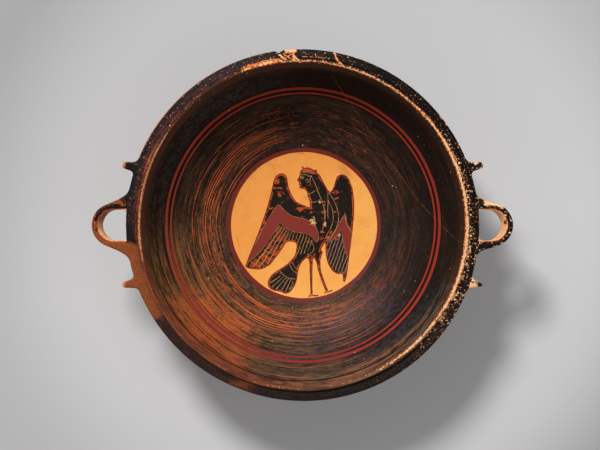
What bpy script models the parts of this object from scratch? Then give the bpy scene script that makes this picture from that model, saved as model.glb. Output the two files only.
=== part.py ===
"""A broad, shallow bowl of fired clay, thrown on a wheel, on a ring foot.

A thin lip stands inside a flat-topped ledge. Two strap handles spring from the ledge's outer face,
with a short spur on each side of each handle, and one chip is broken out of the ledge.
Metres, +Z up. The origin is the middle of the foot's resting face, and the handles lie along X.
"""

import math

import bmesh
import bpy
from mathutils import Vector

# The rim, from its outer edge inwards
RIM_RADIUS = 0.165
HEIGHT = 0.098
RIM_DEPTH = 0.012
RIM_ROUND = 0.0024
LEDGE_WIDTH = 0.0096
LEDGE_FALL = 0.0012
LIP_THICKNESS = 0.0032
LIP_RISE = 0.0026
LIP_DEPTH = 0.010
LIP_BATTER = 0.0042

# The bowl's inside: a flat middle and a wall that follows an oval, which stops short of its widest
FLOOR_FLAT = 0.025
WALL_ROUNDNESS = 2.5
OVAL_BEYOND_WALL = 0.0058
WALL_THICKNESS = 0.0065
FLOOR_THICKNESS = 0.0088

# The ring foot
FOOT_RADIUS = 0.071
FOOT_FLARE = 0.007
FOOT_RING = 0.0085
FOOT_BAND = 0.0058
FOOT_EDGE = 0.0012
FOOT_SPLAY = 0.0030
FLOOR_LIFT = 0.0082

# The strap handles
HANDLE_REACH = 0.0322
HANDLE_WIDTH = 0.0412
STRAP_THICKNESS = 0.0060
STRAP_HEIGHT = 0.0168
STRAP_ROUND = 0.0018
STRAP_DROP = 0.0004
STRAP_LEAN = math.radians(14)
HANDLE_RISE = 0.0012
ROOT_FLARE = 0.0046
ROOT_LENGTH = 0.0150
ROOT_FILLET = 0.0022

# The four spurs
SPUR_BEARING = math.radians(19.1)
SPUR_SPLAY = math.radians(7)
SPUR_LENGTH = 0.0124
SPUR_WIDTH = 0.0074
SPUR_TIP = 0.0056
SPUR_HEIGHT = 0.0122
SPUR_TIP_HEIGHT = 0.0092
SPUR_ROUND = 0.0016
SPUR_FILLET = 0.0022

# The chip in the ledge
CHIP_BEARING = math.radians(97.6)
CHIP_WIDTH = 0.0125
CHIP_BITE = 0.0034
CHIP_DEPTH = 0.0085

# How finely the round forms are faceted
TURN_STEPS = 80
INNER_STEPS = 12
OUTER_STEPS = 9
FINE_STEPS = 120
CORNER_STEPS = 2
BEND_STEPS = 12

# What follows from those sizes
LIP_OUTER = RIM_RADIUS - LEDGE_WIDTH
LIP_MIDDLE = LIP_OUTER - LIP_THICKNESS / 2
SHOULDER_RADIUS = LIP_OUTER - LIP_THICKNESS - LIP_BATTER
SHOULDER_HEIGHT = HEIGHT - LIP_DEPTH
LEDGE_HEIGHT = HEIGHT - LIP_RISE
EDGE_HEIGHT = LEDGE_HEIGHT - LEDGE_FALL
RIM_BOTTOM = EDGE_HEIGHT - RIM_DEPTH
FLOOR_HEIGHT = FLOOR_LIFT + FLOOR_THICKNESS
FOOT_WAIST = FOOT_RADIUS - FOOT_FLARE
STRAP_TOP = EDGE_HEIGHT - STRAP_DROP
STRAP_MIDDLE = STRAP_TOP - STRAP_HEIGHT / 2

CLAY_COLOUR = (0.055, 0.030, 0.022, 1.0)
CLAY_ROUGHNESS = 0.38


def arc(centre, radius, start, end, steps):
    """Points (radius, height) of a round corner, its angles in degrees from straight outwards."""
    turns = [math.radians(start + (end - start) * k / steps) for k in range(steps + 1)]
    return [(centre[0] + radius * math.cos(a), centre[1] + radius * math.sin(a)) for a in turns]


def inner_wall():
    """The inside from its flat middle to the shoulder under the lip, as close-set points."""
    width = SHOULDER_RADIUS - FLOOR_FLAT
    reach = width / (width + OVAL_BEYOND_WALL)
    top = (1 - reach**WALL_ROUNDNESS) ** (1 / WALL_ROUNDNESS)
    points = []
    for k in range(FINE_STEPS + 1):
        share = math.sin(0.5 * math.pi * k / FINE_STEPS)
        across = (1 - (reach * share) ** WALL_ROUNDNESS) ** (1 / WALL_ROUNDNESS)
        rise = (SHOULDER_HEIGHT - FLOOR_HEIGHT) * (1 - across) / (1 - top)
        points.append((FLOOR_FLAT + width * share, FLOOR_HEIGHT + rise))
    return points


def thickness_at(radius):
    """The wall's thickness, which is the floor's over the foot and thins upwards."""
    share = (radius - FOOT_WAIST) / (0.5 * (SHOULDER_RADIUS - FOOT_WAIST))
    share = min(max(share, 0.0), 1.0)
    blend = share * share * (3 - 2 * share)
    return FLOOR_THICKNESS + (WALL_THICKNESS - FLOOR_THICKNESS) * blend


def behind_wall(share):
    """The inside's points moved into the wall by a share of its thickness there."""
    wall = inner_wall()
    moved = []
    for k, (radius, height) in enumerate(wall):
        before = wall[max(k - 1, 0)]
        after = wall[min(k + 1, len(wall) - 1)]
        run = math.hypot(after[0] - before[0], after[1] - before[1])
        outwards = (after[1] - before[1]) / run
        downwards = (after[0] - before[0]) / run
        depth = share * thickness_at(radius)
        moved.append((radius + outwards * depth, height - downwards * depth))
    return moved


def crossing(points, axis, value):
    """The point where a rising line of points first reaches a value, along its radius or its height."""
    for low, high in zip(points, points[1:]):
        if high[axis] >= value:
            share = (value - low[axis]) / (high[axis] - low[axis])
            share = max(share, 0.0)
            return (low[0] + (high[0] - low[0]) * share, low[1] + (high[1] - low[1]) * share)
    return points[-1]


def stretch(points, start, end):
    """The points between two places on a line of points that rises."""
    return [start] + [p for p in points if start[1] < p[1] < end[1] and p[0] > start[0]] + [end]


def evenly(points, steps):
    """The same line with its points at equal distances along it."""
    lengths = [0.0]
    for a, b in zip(points, points[1:]):
        lengths.append(lengths[-1] + math.hypot(b[0] - a[0], b[1] - a[1]))
    found = [points[0]]
    k = 0
    for step in range(1, steps):
        wanted = lengths[-1] * step / steps
        while lengths[k + 1] < wanted:
            k += 1
        share = (wanted - lengths[k]) / (lengths[k + 1] - lengths[k])
        a, b = points[k], points[k + 1]
        found.append((a[0] + (b[0] - a[0]) * share, a[1] + (b[1] - a[1]) * share))
    return found + [points[-1]]


def core_radius(height):
    """The radius in the middle of the wall at a height, and up through the lip."""
    core = behind_wall(0.5) + [(LIP_MIDDLE, HEIGHT)]
    return crossing(core, 1, height)[0]


def rim_outline():
    """From the lip's inner edge over the ledge to the underside of the rim, and into the wall."""
    round_top = LIP_THICKNESS / 2
    lip = arc((LIP_MIDDLE, HEIGHT - round_top), round_top, 180, 0, 4)
    foot_of_lip = [(LIP_OUTER, LEDGE_HEIGHT)] if LIP_RISE > round_top else []
    edge = arc((RIM_RADIUS - RIM_ROUND, EDGE_HEIGHT - RIM_ROUND), RIM_ROUND, 90, 0, 3)
    under = arc((RIM_RADIUS - RIM_ROUND, RIM_BOTTOM + RIM_ROUND), RIM_ROUND, 0, -90, 3)
    return lip + foot_of_lip + edge + under


def outer_wall():
    """The outside, from just under the rim down to the foot, with a small hollow corner at the rim."""
    wall = behind_wall(1.0)
    corner = RIM_ROUND
    top = crossing(wall, 1, RIM_BOTTOM - corner)
    waist = crossing(wall, 0, FOOT_WAIST)
    down = evenly(stretch(wall, waist, top), OUTER_STEPS)[::-1]
    hollow = arc((top[0] + corner, RIM_BOTTOM - corner), corner, 90, 180, 2)
    return hollow[:-1] + down


def foot_outline(waist_height):
    """The ring foot below the waist, its resting face and the underside of the floor."""
    flare = FOOT_RADIUS - FOOT_WAIST
    fall = waist_height - FOOT_BAND
    hollow = [
        (FOOT_WAIST + flare * (1 - math.cos(a)), waist_height - fall * math.sin(a))
        for a in (math.radians(30), math.radians(60), math.radians(90))
    ]
    inner_edge = FOOT_RADIUS - FOOT_RING
    ring = [
        (FOOT_RADIUS, FOOT_EDGE),
        (FOOT_RADIUS - FOOT_EDGE, 0.0),
        (inner_edge, 0.0),
        (inner_edge - FOOT_SPLAY, FLOOR_LIFT * 0.8),
        (inner_edge - FOOT_SPLAY - FLOOR_LIFT * 0.3, FLOOR_LIFT),
    ]
    return hollow + ring + [(0.0, FLOOR_LIFT)]


def bowl_outline():
    """Half of the bowl's section, from the middle of the floor round the rim to the underside's middle."""
    outside = outer_wall()
    inside = [(0.0, FLOOR_HEIGHT)] + evenly(inner_wall(), INNER_STEPS)
    return inside + rim_outline() + outside + foot_outline(outside[-1][1])


def clay():
    """Glossy black slip over orange clay, as one plain finish."""
    material = bpy.data.materials.new("black_slip_clay")
    material.use_nodes = True
    shader = material.node_tree.nodes["Principled BSDF"]
    shader.inputs["Base Color"].default_value = CLAY_COLOUR
    shader.inputs["Roughness"].default_value = CLAY_ROUGHNESS
    shader.inputs["Metallic"].default_value = 0.0
    return material


def add_object(name, mesh):
    piece = bpy.data.objects.new(name, mesh)
    bpy.context.collection.objects.link(piece)
    return piece


def thrown_bowl():
    """The bowl without its handles: the outline turned about the wheel's axis."""
    outline = bowl_outline()
    mesh = bpy.data.meshes.new("lekane")
    edges = [(k, k + 1) for k in range(len(outline) - 1)]
    mesh.from_pydata([(radius, 0.0, height) for radius, height in outline], edges, [])
    bowl = add_object("lekane", mesh)
    turn = bowl.modifiers.new("turn", "SCREW")
    turn.axis = "Z"
    turn.steps = TURN_STEPS
    turn.render_steps = TURN_STEPS
    turn.use_merge_vertices = True
    turn.merge_threshold = 0.00001
    return bowl


def as_tool(piece):
    """Hides a shape that only joins or cuts another."""
    piece.hide_render = True
    piece.display_type = "WIRE"
    return piece


def loft(name, rings):
    """A closed solid through a row of rings with equally many points."""
    shape = bmesh.new()
    rows = [[shape.verts.new(point) for point in ring] for ring in rings]
    for near, far in zip(rows, rows[1:]):
        for k in range(len(near)):
            after = (k + 1) % len(near)
            shape.faces.new((near[k], near[after], far[after], far[k]))
    shape.faces.new(rows[0][::-1])
    shape.faces.new(rows[-1])
    bmesh.ops.recalc_face_normals(shape, faces=shape.faces)
    mesh = bpy.data.meshes.new(name)
    shape.to_mesh(mesh)
    shape.free()
    return as_tool(add_object(name, mesh))


def slab_section(left, right, half_height, corner):
    """Points (across, up) round an upright slab with round corners."""
    corner = min(corner, 0.45 * (left + right), 0.9 * half_height)
    corners = [
        ((right - corner, half_height - corner), 90, 0),
        ((right - corner, corner - half_height), 0, -90),
        ((corner - left, corner - half_height), -90, -180),
        ((corner - left, half_height - corner), 180, 90),
    ]
    return [p for centre, start, end in corners for p in arc(centre, corner, start, end, CORNER_STEPS)]


def back_into_wall(point, along, height):
    """The plan point behind a point, against a direction, that lies in the middle of the wall."""
    radius = core_radius(height)
    forward = point.dot(along)
    sideways = point - along * forward
    reach = math.sqrt(max(radius * radius - sideways.length_squared, 0.0))
    return sideways + along * reach


def handle_plan():
    """The strap's middle line seen from above, as (outwards, sideways, direction of its outer side)."""
    half = (HANDLE_WIDTH - STRAP_THICKNESS) / 2
    lean = STRAP_HEIGHT / 2 * math.tan(STRAP_LEAN)
    bend_start = HANDLE_REACH - lean - STRAP_THICKNESS / 2 - half
    arm_start = math.sqrt(RIM_RADIUS**2 - half**2) - RIM_RADIUS
    arm = [arm_start + (bend_start - arm_start) * share for share in (0.0, 0.08, 0.22, 0.6)]
    bend = [math.pi / 2 - math.pi * k / BEND_STEPS for k in range(BEND_STEPS + 1)]
    plan = [(out, half, math.pi / 2) for out in arm]
    plan += [(bend_start + half * math.cos(a), half * math.sin(a), a) for a in bend]
    return plan + [(out, -half, -math.pi / 2) for out in reversed(arm)]


def widening(distance, length, amount):
    """How much a root widens at a distance from the rim: a hollow curve that dies out at its length."""
    left = min(max(1 - distance / length, 0.0), 1.0)
    return amount * left**1.5


def strap_handle(name, side):
    """One flat strap bent into a horizontal loop, leaning outwards, its roots flared into the rim."""
    outwards = Vector((side, 0.0))
    sideways = Vector((0.0, side))
    rings = []
    half = STRAP_THICKNESS / 2
    for out, across, facing in handle_plan():
        outer = half + widening(out, ROOT_LENGTH, ROOT_FLARE)
        inner = half + widening(out, 1.5 * ROOT_FILLET, ROOT_FILLET)
        rise = HANDLE_RISE * max(out, 0.0) / HANDLE_REACH
        normal = outwards * math.cos(facing) + sideways * math.sin(facing)
        middle = outwards * (RIM_RADIUS + out) + sideways * across
        section = slab_section(inner, outer, STRAP_HEIGHT / 2, STRAP_ROUND)
        ring = []
        for thick, up in section:
            plan = middle + normal * thick + outwards * (up * math.tan(STRAP_LEAN))
            ring.append(Vector((plan.x, plan.y, STRAP_MIDDLE + rise + up)))
        rings.append(ring)
    return loft(name, buried(rings[0], outwards) + rings + buried(rings[-1], outwards))


def buried(ring, along):
    """The ring carried back into the wall, as a list of one ring."""
    moved = []
    for point in ring:
        plan = back_into_wall(point.to_2d(), along, point.z)
        moved.append(Vector((plan.x, plan.y, point.z)))
    return [moved]


def spur(name, side, hand):
    """A short blunt horn beside a handle. Its outer end splays away from the handle."""
    bearing = Vector((side * math.cos(SPUR_BEARING), hand * math.sin(SPUR_BEARING)))
    along = Vector((side * math.cos(SPUR_SPLAY), hand * math.sin(SPUR_SPLAY)))
    across = Vector((-along.y, along.x))
    start = bearing * RIM_RADIUS
    rings = []
    for share, nose in ((0.0, 1.0), (0.1, 1.0), (0.22, 1.0), (0.4, 1.0), (0.88, 1.0), (1.0, 0.6)):
        out = SPUR_LENGTH * share
        width = SPUR_WIDTH + (SPUR_TIP - SPUR_WIDTH) * share
        half = width / 2 * nose + widening(out, 2 * SPUR_FILLET, SPUR_FILLET)
        height = SPUR_HEIGHT + (SPUR_TIP_HEIGHT - SPUR_HEIGHT) * share
        middle = STRAP_TOP - height / 2 - (1 - nose) * SPUR_ROUND
        section = slab_section(half, half, height / 2 * (0.5 + nose / 2), SPUR_ROUND)
        centre = start + along * out
        rings.append([Vector((*(centre + across * a), middle + up)) for a, up in section])
    return loft(name, buried(rings[0], along) + rings)


def chip():
    """A broken-out notch in the ledge's edge: a skewed wedge, deepest at the top."""
    outwards = Vector((math.cos(CHIP_BEARING), math.sin(CHIP_BEARING)))
    sideways = Vector((-outwards.y, outwards.x))
    clear = 0.004
    top = LEDGE_HEIGHT + clear
    rings = []
    for height, shrink in ((top, 1.0), (EDGE_HEIGHT, 0.94), (EDGE_HEIGHT - CHIP_DEPTH, 0.25)):
        inner = RIM_RADIUS - CHIP_BITE * shrink
        half = CHIP_WIDTH / 2
        widen = (RIM_RADIUS + clear - inner) / CHIP_BITE
        corners = [(inner, 0.1), (RIM_RADIUS + clear, widen), (RIM_RADIUS + clear, -widen), (inner, -0.1)]
        rings.append(
            [Vector((*(outwards * r + sideways * (half * s)), height)) for r, s in corners]
        )
    return loft("chip_cutter", rings)


def join_or_cut(bowl, tool, operation):
    step = bowl.modifiers.new(tool.name, "BOOLEAN")
    step.operation = operation
    step.solver = "EXACT"
    step.object = tool


def shade(bowl):
    """Facets of the turned faces read as round, and the crisp edges stay crisp."""
    bowl.data.shade_smooth()
    bowl.data.set_sharp_from_angle(angle=math.radians(40))


def main():
    for old in list(bpy.data.objects):
        bpy.data.objects.remove(old)
    bowl = thrown_bowl()
    bowl.data.materials.append(clay())
    for side, side_name in ((1, "right"), (-1, "left")):
        join_or_cut(bowl, strap_handle(side_name + "_handle", side), "UNION")
        for hand, hand_name in ((1, "back"), (-1, "front")):
            join_or_cut(bowl, spur(side_name + "_" + hand_name + "_spur", side, hand), "UNION")
    join_or_cut(bowl, chip(), "DIFFERENCE")
    shade(bowl)


main()
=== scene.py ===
"""Dresses a broad two-handled bowl of fired clay in its black slip, its painted floor and its wear.

The bowl is turned, its handles and spurs are bent and set on, and all of it is one piece of clay.
Metres, +Z up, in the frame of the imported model.
"""

import math

import bmesh
import bpy
import numpy as np
from bpy.props import FloatProperty, FloatVectorProperty, IntProperty, PointerProperty
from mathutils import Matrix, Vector, noise


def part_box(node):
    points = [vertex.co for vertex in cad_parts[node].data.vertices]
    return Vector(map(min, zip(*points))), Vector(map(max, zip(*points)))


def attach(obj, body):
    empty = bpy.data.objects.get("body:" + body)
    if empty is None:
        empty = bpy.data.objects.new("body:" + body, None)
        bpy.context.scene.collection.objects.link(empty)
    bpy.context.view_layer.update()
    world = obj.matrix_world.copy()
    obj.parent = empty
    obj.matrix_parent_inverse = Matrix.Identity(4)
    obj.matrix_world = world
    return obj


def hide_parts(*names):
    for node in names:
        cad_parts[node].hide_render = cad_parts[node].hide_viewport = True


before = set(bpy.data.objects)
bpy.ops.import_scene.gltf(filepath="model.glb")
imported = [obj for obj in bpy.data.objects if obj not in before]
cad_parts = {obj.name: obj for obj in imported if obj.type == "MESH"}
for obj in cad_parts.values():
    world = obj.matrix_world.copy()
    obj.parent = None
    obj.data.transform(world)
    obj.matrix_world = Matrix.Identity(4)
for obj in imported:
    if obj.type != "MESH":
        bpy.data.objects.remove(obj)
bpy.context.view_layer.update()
NODE = "lekane"
NODE_LOW, NODE_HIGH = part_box(NODE)

bl_info = {
    "name": "Lekane",
    "version": (1, 0, 0),
    "blender": (4, 5, 0),
    "location": "3D View > Sidebar > Lekane",
    "description": "Builds a black-slipped clay bowl with strap handles and a painted floor",
    "category": "Add Mesh",
}

MM = 0.001
SKIP = "skipped_steps"
OUTER_SIDE = "outer_side"
FLOOR_SLOT, WALL_SLOT, RIM_SLOT, OUTSIDE_SLOT = range(4)

# A point this far off the turned surface, and this far out, is on a handle, a spur or the chip
OFF_THE_BOWL = 0.2 * MM
GRIPS_START = 0.14

# How finely the bowl's section is cut up
PAINTED_EDGE = 0.0763
WALL_POINTS = 200
WALL_RINGS = 24
RINGS_TO_OUTSIDE = 60
CROWN_STEPS = 10
CORNER_STEPS = 6
LIP_SHARES = (0.12, 0.3, 0.5, 0.7, 0.88)
LEDGE_SHARES = (0.4, 0.6, 0.8)
FACE_SHARES = (0.35, 0.5, 0.65)

# The groove between lip and ledge: out from the lip's outer face, and up from the ledge
GROOVE = ((0.0, 0.4 * MM), (0.3 * MM, -0.4 * MM), (0.9 * MM, -0.5 * MM), (1.6 * MM, -0.2 * MM))

# Where each part lies when the surface is unrolled on a square 1 wide
INSIDE_MIDDLE, INSIDE_RADIUS = 0.345, 0.34
OUTSIDE_MIDDLE, OUTSIDE_RADIUS = 0.79, 0.205
GRIPS_SHARE, GRIPS_LEFT, EAST_LOW, WEST_LOW = 0.275, 0.715, 0.01, 0.295

# Where the finish changes, as radii in millimetres
RING_INNER = 71.3
RING_OUTER = 75.5
INNER_BAND = (125.6, 127.2)
OUTER_BAND = (129.4, 131.6)
CROWN_MIDDLE = 152.5
LEDGE_INNER = 154.0
GRIPS_INNER = 164.7


# Node trees

class Value:
    """A number's socket. Arithmetic on it adds Math nodes to its tree."""

    def __init__(self, nodes, socket):
        self.nodes = nodes
        self.socket = socket

    def __add__(self, other):
        return self.nodes.math("ADD", self, other)

    def __sub__(self, other):
        return self.nodes.math("SUBTRACT", self, other)

    def __rsub__(self, other):
        return self.nodes.math("SUBTRACT", other, self)

    def __mul__(self, other):
        return self.nodes.math("MULTIPLY", self, other)

    def __truediv__(self, other):
        return self.nodes.math("DIVIDE", self, other)

    def __pow__(self, other):
        return self.nodes.math("POWER", self, other)

    def __neg__(self):
        return self.nodes.math("MULTIPLY", self, -1.0)

    def __abs__(self):
        return self.nodes.math("ABSOLUTE", self)

    __radd__ = __add__
    __rmul__ = __mul__

    def least(self, other):
        return self.nodes.math("MINIMUM", self, other)

    def most(self, other):
        return self.nodes.math("MAXIMUM", self, other)

    def ramp(self, low, high):
        """0 at low and 1 at high, with a soft start and end. It falls where low is over high."""
        sockets = {"Value": self, "From Min": low, "From Max": high}
        node = self.nodes.make("ShaderNodeMapRange", sockets, interpolation_type="SMOOTHSTEP")
        return Value(self.nodes, node.outputs[0])

    def band(self, low, high, soft):
        """1 between low and high and 0 outside, with soft edges."""
        return self.ramp(low - soft / 2, low + soft / 2) * self.ramp(high + soft / 2, high - soft / 2)


class Nodes:
    """Adds nodes to one tree."""

    def __init__(self, tree):
        self.tree = tree

    def make(self, kind, sockets=None, **settings):
        """Adds a node. Its settings come first, then its sockets take values or links."""
        node = self.tree.nodes.new(kind)
        for name, setting in settings.items():
            setattr(node, name, setting)
        for name, value in (sockets or {}).items():
            self.fill(node.inputs[name], value)
        return node

    def fill(self, socket, value):
        source = value.socket if isinstance(value, Value) else value
        if isinstance(source, bpy.types.NodeSocket):
            self.tree.links.new(source, socket)
        else:
            socket.default_value = source

    def math(self, operation, *terms):
        node = self.make("ShaderNodeMath", dict(enumerate(terms)), operation=operation)
        return Value(self, node.outputs[0])

    def vector(self, operation, first, second):
        sockets = {0: first, 1: second}
        return self.make("ShaderNodeVectorMath", sockets, operation=operation).outputs["Vector"]

    def vector_length(self, vector):
        node = self.make("ShaderNodeVectorMath", {0: vector}, operation="LENGTH")
        return Value(self, node.outputs["Value"])

    def join(self, x, y, z):
        return self.make("ShaderNodeCombineXYZ", {0: x, 1: y, 2: z}).outputs[0]

    def split(self, vector):
        node = self.make("ShaderNodeSeparateXYZ", {0: vector})
        return [Value(self, socket) for socket in node.outputs]

    def attribute(self, name):
        """A number kept on the mesh, for a material."""
        node = self.make("ShaderNodeAttribute", attribute_type="GEOMETRY", attribute_name=name)
        return Value(self, node.outputs["Fac"])

    def noise(self, place, scale, detail=2.0, roughness=0.5):
        """Cloudy noise from 0 to 1, mostly near a half."""
        sockets = {"Vector": place, "Scale": scale, "Detail": detail, "Roughness": roughness}
        return Value(self, self.make("ShaderNodeTexNoise", sockets).outputs[0])

    def cells(self, place, scale):
        """The distance to the nearest of scattered points, and each point's own random numbers."""
        node = self.make("ShaderNodeTexVoronoi", {"Vector": place, "Scale": scale}, feature="F1")
        return Value(self, node.outputs["Distance"]), self.split(node.outputs["Color"])

    def stops(self, value, colours):
        """A colour that runs through stops, given as places from 0 to 1 and their colours."""
        node = self.make("ShaderNodeValToRGB", {"Fac": value})
        ramp = node.color_ramp
        while len(ramp.elements) < len(colours):
            ramp.elements.new(0.5)
        for element, (place, shade) in zip(ramp.elements, colours.items()):
            element.position = place
            element.color = shade
        return node.outputs["Color"]

    def blend(self, mask, below, above):
        """The colour below where the mask is 0, and the colour above where it is 1."""
        node = self.make("ShaderNodeMix", {0: mask, 6: below, 7: above}, data_type="RGBA")
        return node.outputs[2]


def geometry_tree(name, inputs):
    """A Geometry Nodes group with named inputs, given as name and socket type."""
    tree = bpy.data.node_groups.new(name, "GeometryNodeTree")
    sockets = tree.interface
    sockets.new_socket("Geometry", in_out="INPUT", socket_type="NodeSocketGeometry")
    for label, kind in inputs.items():
        sockets.new_socket(label, in_out="INPUT", socket_type="NodeSocket" + kind)
    sockets.new_socket("Geometry", in_out="OUTPUT", socket_type="NodeSocketGeometry")
    nodes = Nodes(tree)
    given = nodes.make("NodeGroupInput").outputs
    return nodes, {socket.name: socket for socket in given if socket.name}


def close_tree(nodes, geometry, material):
    """Every tree ends alike: smooth faces, no instances, and the piece's material."""
    smooth = nodes.make("GeometryNodeSetShadeSmooth", {"Geometry": geometry})
    real = nodes.make("GeometryNodeRealizeInstances", {"Geometry": smooth.outputs[0]})
    painted = nodes.make("GeometryNodeSetMaterial", {"Geometry": real.outputs[0], "Material": material})
    nodes.make("NodeGroupOutput", {"Geometry": painted.outputs[0]})
    return nodes.tree


def grown(name, start, tree, values):
    """The plain mesh that a Geometry Nodes tree makes from a starting mesh."""
    seed = bpy.data.objects.new(name, start)
    bpy.context.collection.objects.link(seed)
    step = seed.modifiers.new(name, "NODES")
    step.node_group = tree
    for item in tree.interface.items_tree:
        if item.in_out == "INPUT" and item.name in values:
            step[item.identifier] = values[item.name]
    shaped = seed.evaluated_get(bpy.context.evaluated_depsgraph_get())
    mesh = bpy.data.meshes.new_from_object(shaped)
    seed.modifiers.remove(step)
    bpy.data.objects.remove(seed)
    return mesh


# Sizes and finishes

def length(name, description, default):
    return FloatProperty(name=name, description=description, default=default, unit="LENGTH", precision=4)


def angle(name, description, degrees):
    value = math.radians(degrees)
    return FloatProperty(name=name, description=description, default=value, subtype="ANGLE")


def colour(name, description, default):
    """A colour given as it looks on a screen, from 0 to 255, and kept as light."""
    light = [((c / 255 + 0.055) / 1.055) ** 2.4 if c > 10 else c / 255 / 12.92 for c in default]
    limits = {"min": 0.0, "max": 1.0}
    return FloatVectorProperty(name=name, description=description, default=light, subtype="COLOR", **limits)


def share(name, description, default):
    return FloatProperty(name=name, description=description, default=default, min=0.0, subtype="FACTOR")


def power(name, description, default):
    return FloatProperty(name=name, description=description, default=default, unit="POWER")


class LekaneBowl(bpy.types.PropertyGroup):
    """The turned bowl's section."""

    rim_radius: length("Rim radius", "From the wheel's axis to the ledge's edge", NODE_HIGH[1])
    height: length("Height", "From the foot's resting face to the lip's crown", NODE_HIGH[2])
    rim_depth: length("Rim depth", "Height of the ledge's outer face", 0.012)
    rim_round: length("Rim rounding", "Radius of the ledge's edges", 0.0024)
    ledge_width: length("Ledge width", "From the lip's outer face to the rim's edge", 0.0096)
    ledge_fall: length("Ledge fall", "How much the ledge slopes down outwards", 0.0012)
    lip_thickness: length("Lip thickness", "Thickness of the lip inside the ledge", 0.0032)
    lip_rise: length("Lip rise", "How far the lip stands above the ledge", 0.0026)
    lip_depth: length("Lip depth", "From the lip's crown down to the shoulder inside", 0.010)
    lip_batter: length("Lip batter", "How far the lip's inner face leans outwards", 0.0042)
    floor_flat: length("Flat floor", "Radius of the flat middle of the floor", 0.025)
    roundness: share("Wall roundness", "Exponent of the oval that the wall follows", 2.5)
    beyond: length("Oval beyond wall", "How far the oval would go on past the shoulder", 0.0058)
    wall: length("Wall thickness", "Thickness of the wall near the rim", 0.0065)
    floor: length("Floor thickness", "Thickness of the floor over the foot", 0.0088)
    foot_radius: length("Foot radius", "Outer radius of the ring foot", 0.071)
    foot_flare: length("Foot flare", "How far the foot spreads below its waist", 0.007)
    foot_ring: length("Foot ring", "Width of the foot's resting ring", 0.0085)
    foot_band: length("Foot band", "Height of the foot's upright edge", 0.0058)
    foot_edge: length("Foot edge", "Rounding of the foot's lower edge", 0.0012)
    foot_splay: length("Foot splay", "Slope of the foot's inner face", 0.0030)
    floor_lift: length("Floor lift", "From the resting face up to the floor's underside", 0.0082)
    out_of_round: length("Out of round", "How far the rim pulls in across its flattest bearing", 0.0013)
    flattest: angle("Flattest bearing", "Where the rim pulls in most, from the right handle", 62)
    chip_bearing: angle("Chip bearing", "Where the ledge is chipped, from the right handle", 97.6)
    chip_width: length("Chip width", "Width of the chip along the edge", 0.0125)
    chip_bite: length("Chip bite", "How far the chip goes in from the edge", 0.0034)
    chip_depth: length("Chip depth", "How far the chip goes down the ledge's face", 0.0138)
    picture_radius: length("Picture radius", "Radius of the round picture on the floor", 0.0720)
    steps: IntProperty(name="Turned steps", description="Facets round the painted floor", default=640)
    facet: length("Painted facet", "Spacing of the rings on the painted floor", 0.00075)


class LekaneGrips(bpy.types.PropertyGroup):
    """The strap handles and the spurs beside them."""

    reach: length("Handle reach", "From the rim's edge to the handle's far side", 0.0317)
    width: length("Handle width", "Width over the handle's loop", 0.0412)
    thickness: length("Strap thickness", "Thickness of the bent strap", 0.0060)
    strap_height: length("Strap height", "Height of the bent strap", 0.0168)
    strap_round: length("Strap rounding", "Radius of the strap's edges", 0.0021)
    drop: length("Drop", "From the ledge's edge down to the strap's upper edge", 0.0005)
    right_lean: angle("Right lean", "How far the right handle leans outwards", 17)
    left_lean: angle("Left lean", "How far the left handle leans outwards", 12)
    rise: length("Rise", "How much the handle rises towards its far side", 0.0012)
    right_flare: length("Right root flare", "How much the right strap widens outwards at its roots", 0.0044)
    left_flare: length("Left root flare", "How much the left strap widens outwards at its roots", 0.0075)
    right_flare_length: length("Right flare length", "How far the right strap's widening reaches", 0.0155)
    left_flare_length: length("Left flare length", "How far the left strap's widening reaches", 0.0175)
    spur_bearing: angle("Spur bearing", "Angle from a handle to the spurs beside it", 19.1)
    spur_splay: angle("Spur splay", "How far a spur turns away from the handle's line", 10)
    spur_length: length("Spur length", "From the rim's edge to a spur's tip", 0.0124)
    spur_width: length("Spur width", "Width of a spur at the rim's edge", 0.0096)
    spur_height: length("Spur height", "Height of a spur at the rim", 0.0122)
    right_front_tip: length(
        "Right front spur tip", "Width of the tip of the right side's front spur", 0.0018
    )
    right_back_tip: length("Right back spur tip", "Width of the tip of the right side's back spur", 0.0054)
    left_front_tip: length("Left front spur tip", "Width of the tip of the left side's front spur", 0.0046)
    left_back_tip: length("Left back spur tip", "Width of the tip of the left side's back spur", 0.0054)
    tip_height: length("Spur tip height", "Height of a spur at its tip", 0.0088)
    spur_round: length("Spur rounding", "Radius of a spur's edges", 0.0020)
    fillet: length("Fillet", "How far the smoothed clay reaches at each join", 0.0045)
    knead: length("Knead", "How far hand work pushes the clay about", 0.0009)
    knead_scale: share("Knead scale", "How many dents of hand work there are to a metre", 55)
    voxel: length("Voxel", "How finely the handles' solid is worked out", 0.0009)


def outline_of_wall(bowl):
    """A function from a radius to the height of the bowl's inside, out to the shoulder."""
    shoulder = bowl.rim_radius - bowl.ledge_width - bowl.lip_thickness - bowl.lip_batter
    low = bowl.floor_lift + bowl.floor
    high = bowl.height - bowl.lip_depth
    width = shoulder - bowl.floor_flat
    span = width / (width + bowl.beyond)
    top = (1 - span**bowl.roundness) ** (1 / bowl.roundness)

    def height_at(radius):
        along = max(radius - bowl.floor_flat, 0.0) / width * span
        across = (1 - along**bowl.roundness) ** (1 / bowl.roundness)
        return low + (high - low) * (1 - across) / (1 - top)

    return height_at, shoulder


def arc(centre, radius, start, end, steps):
    """Points (radius, height) of a round corner, its angles in degrees from straight outwards."""
    turns = [math.radians(start + (end - start) * k / steps) for k in range(steps + 1)]
    return [(centre[0] + radius * math.cos(a), centre[1] + radius * math.sin(a)) for a in turns]


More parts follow.
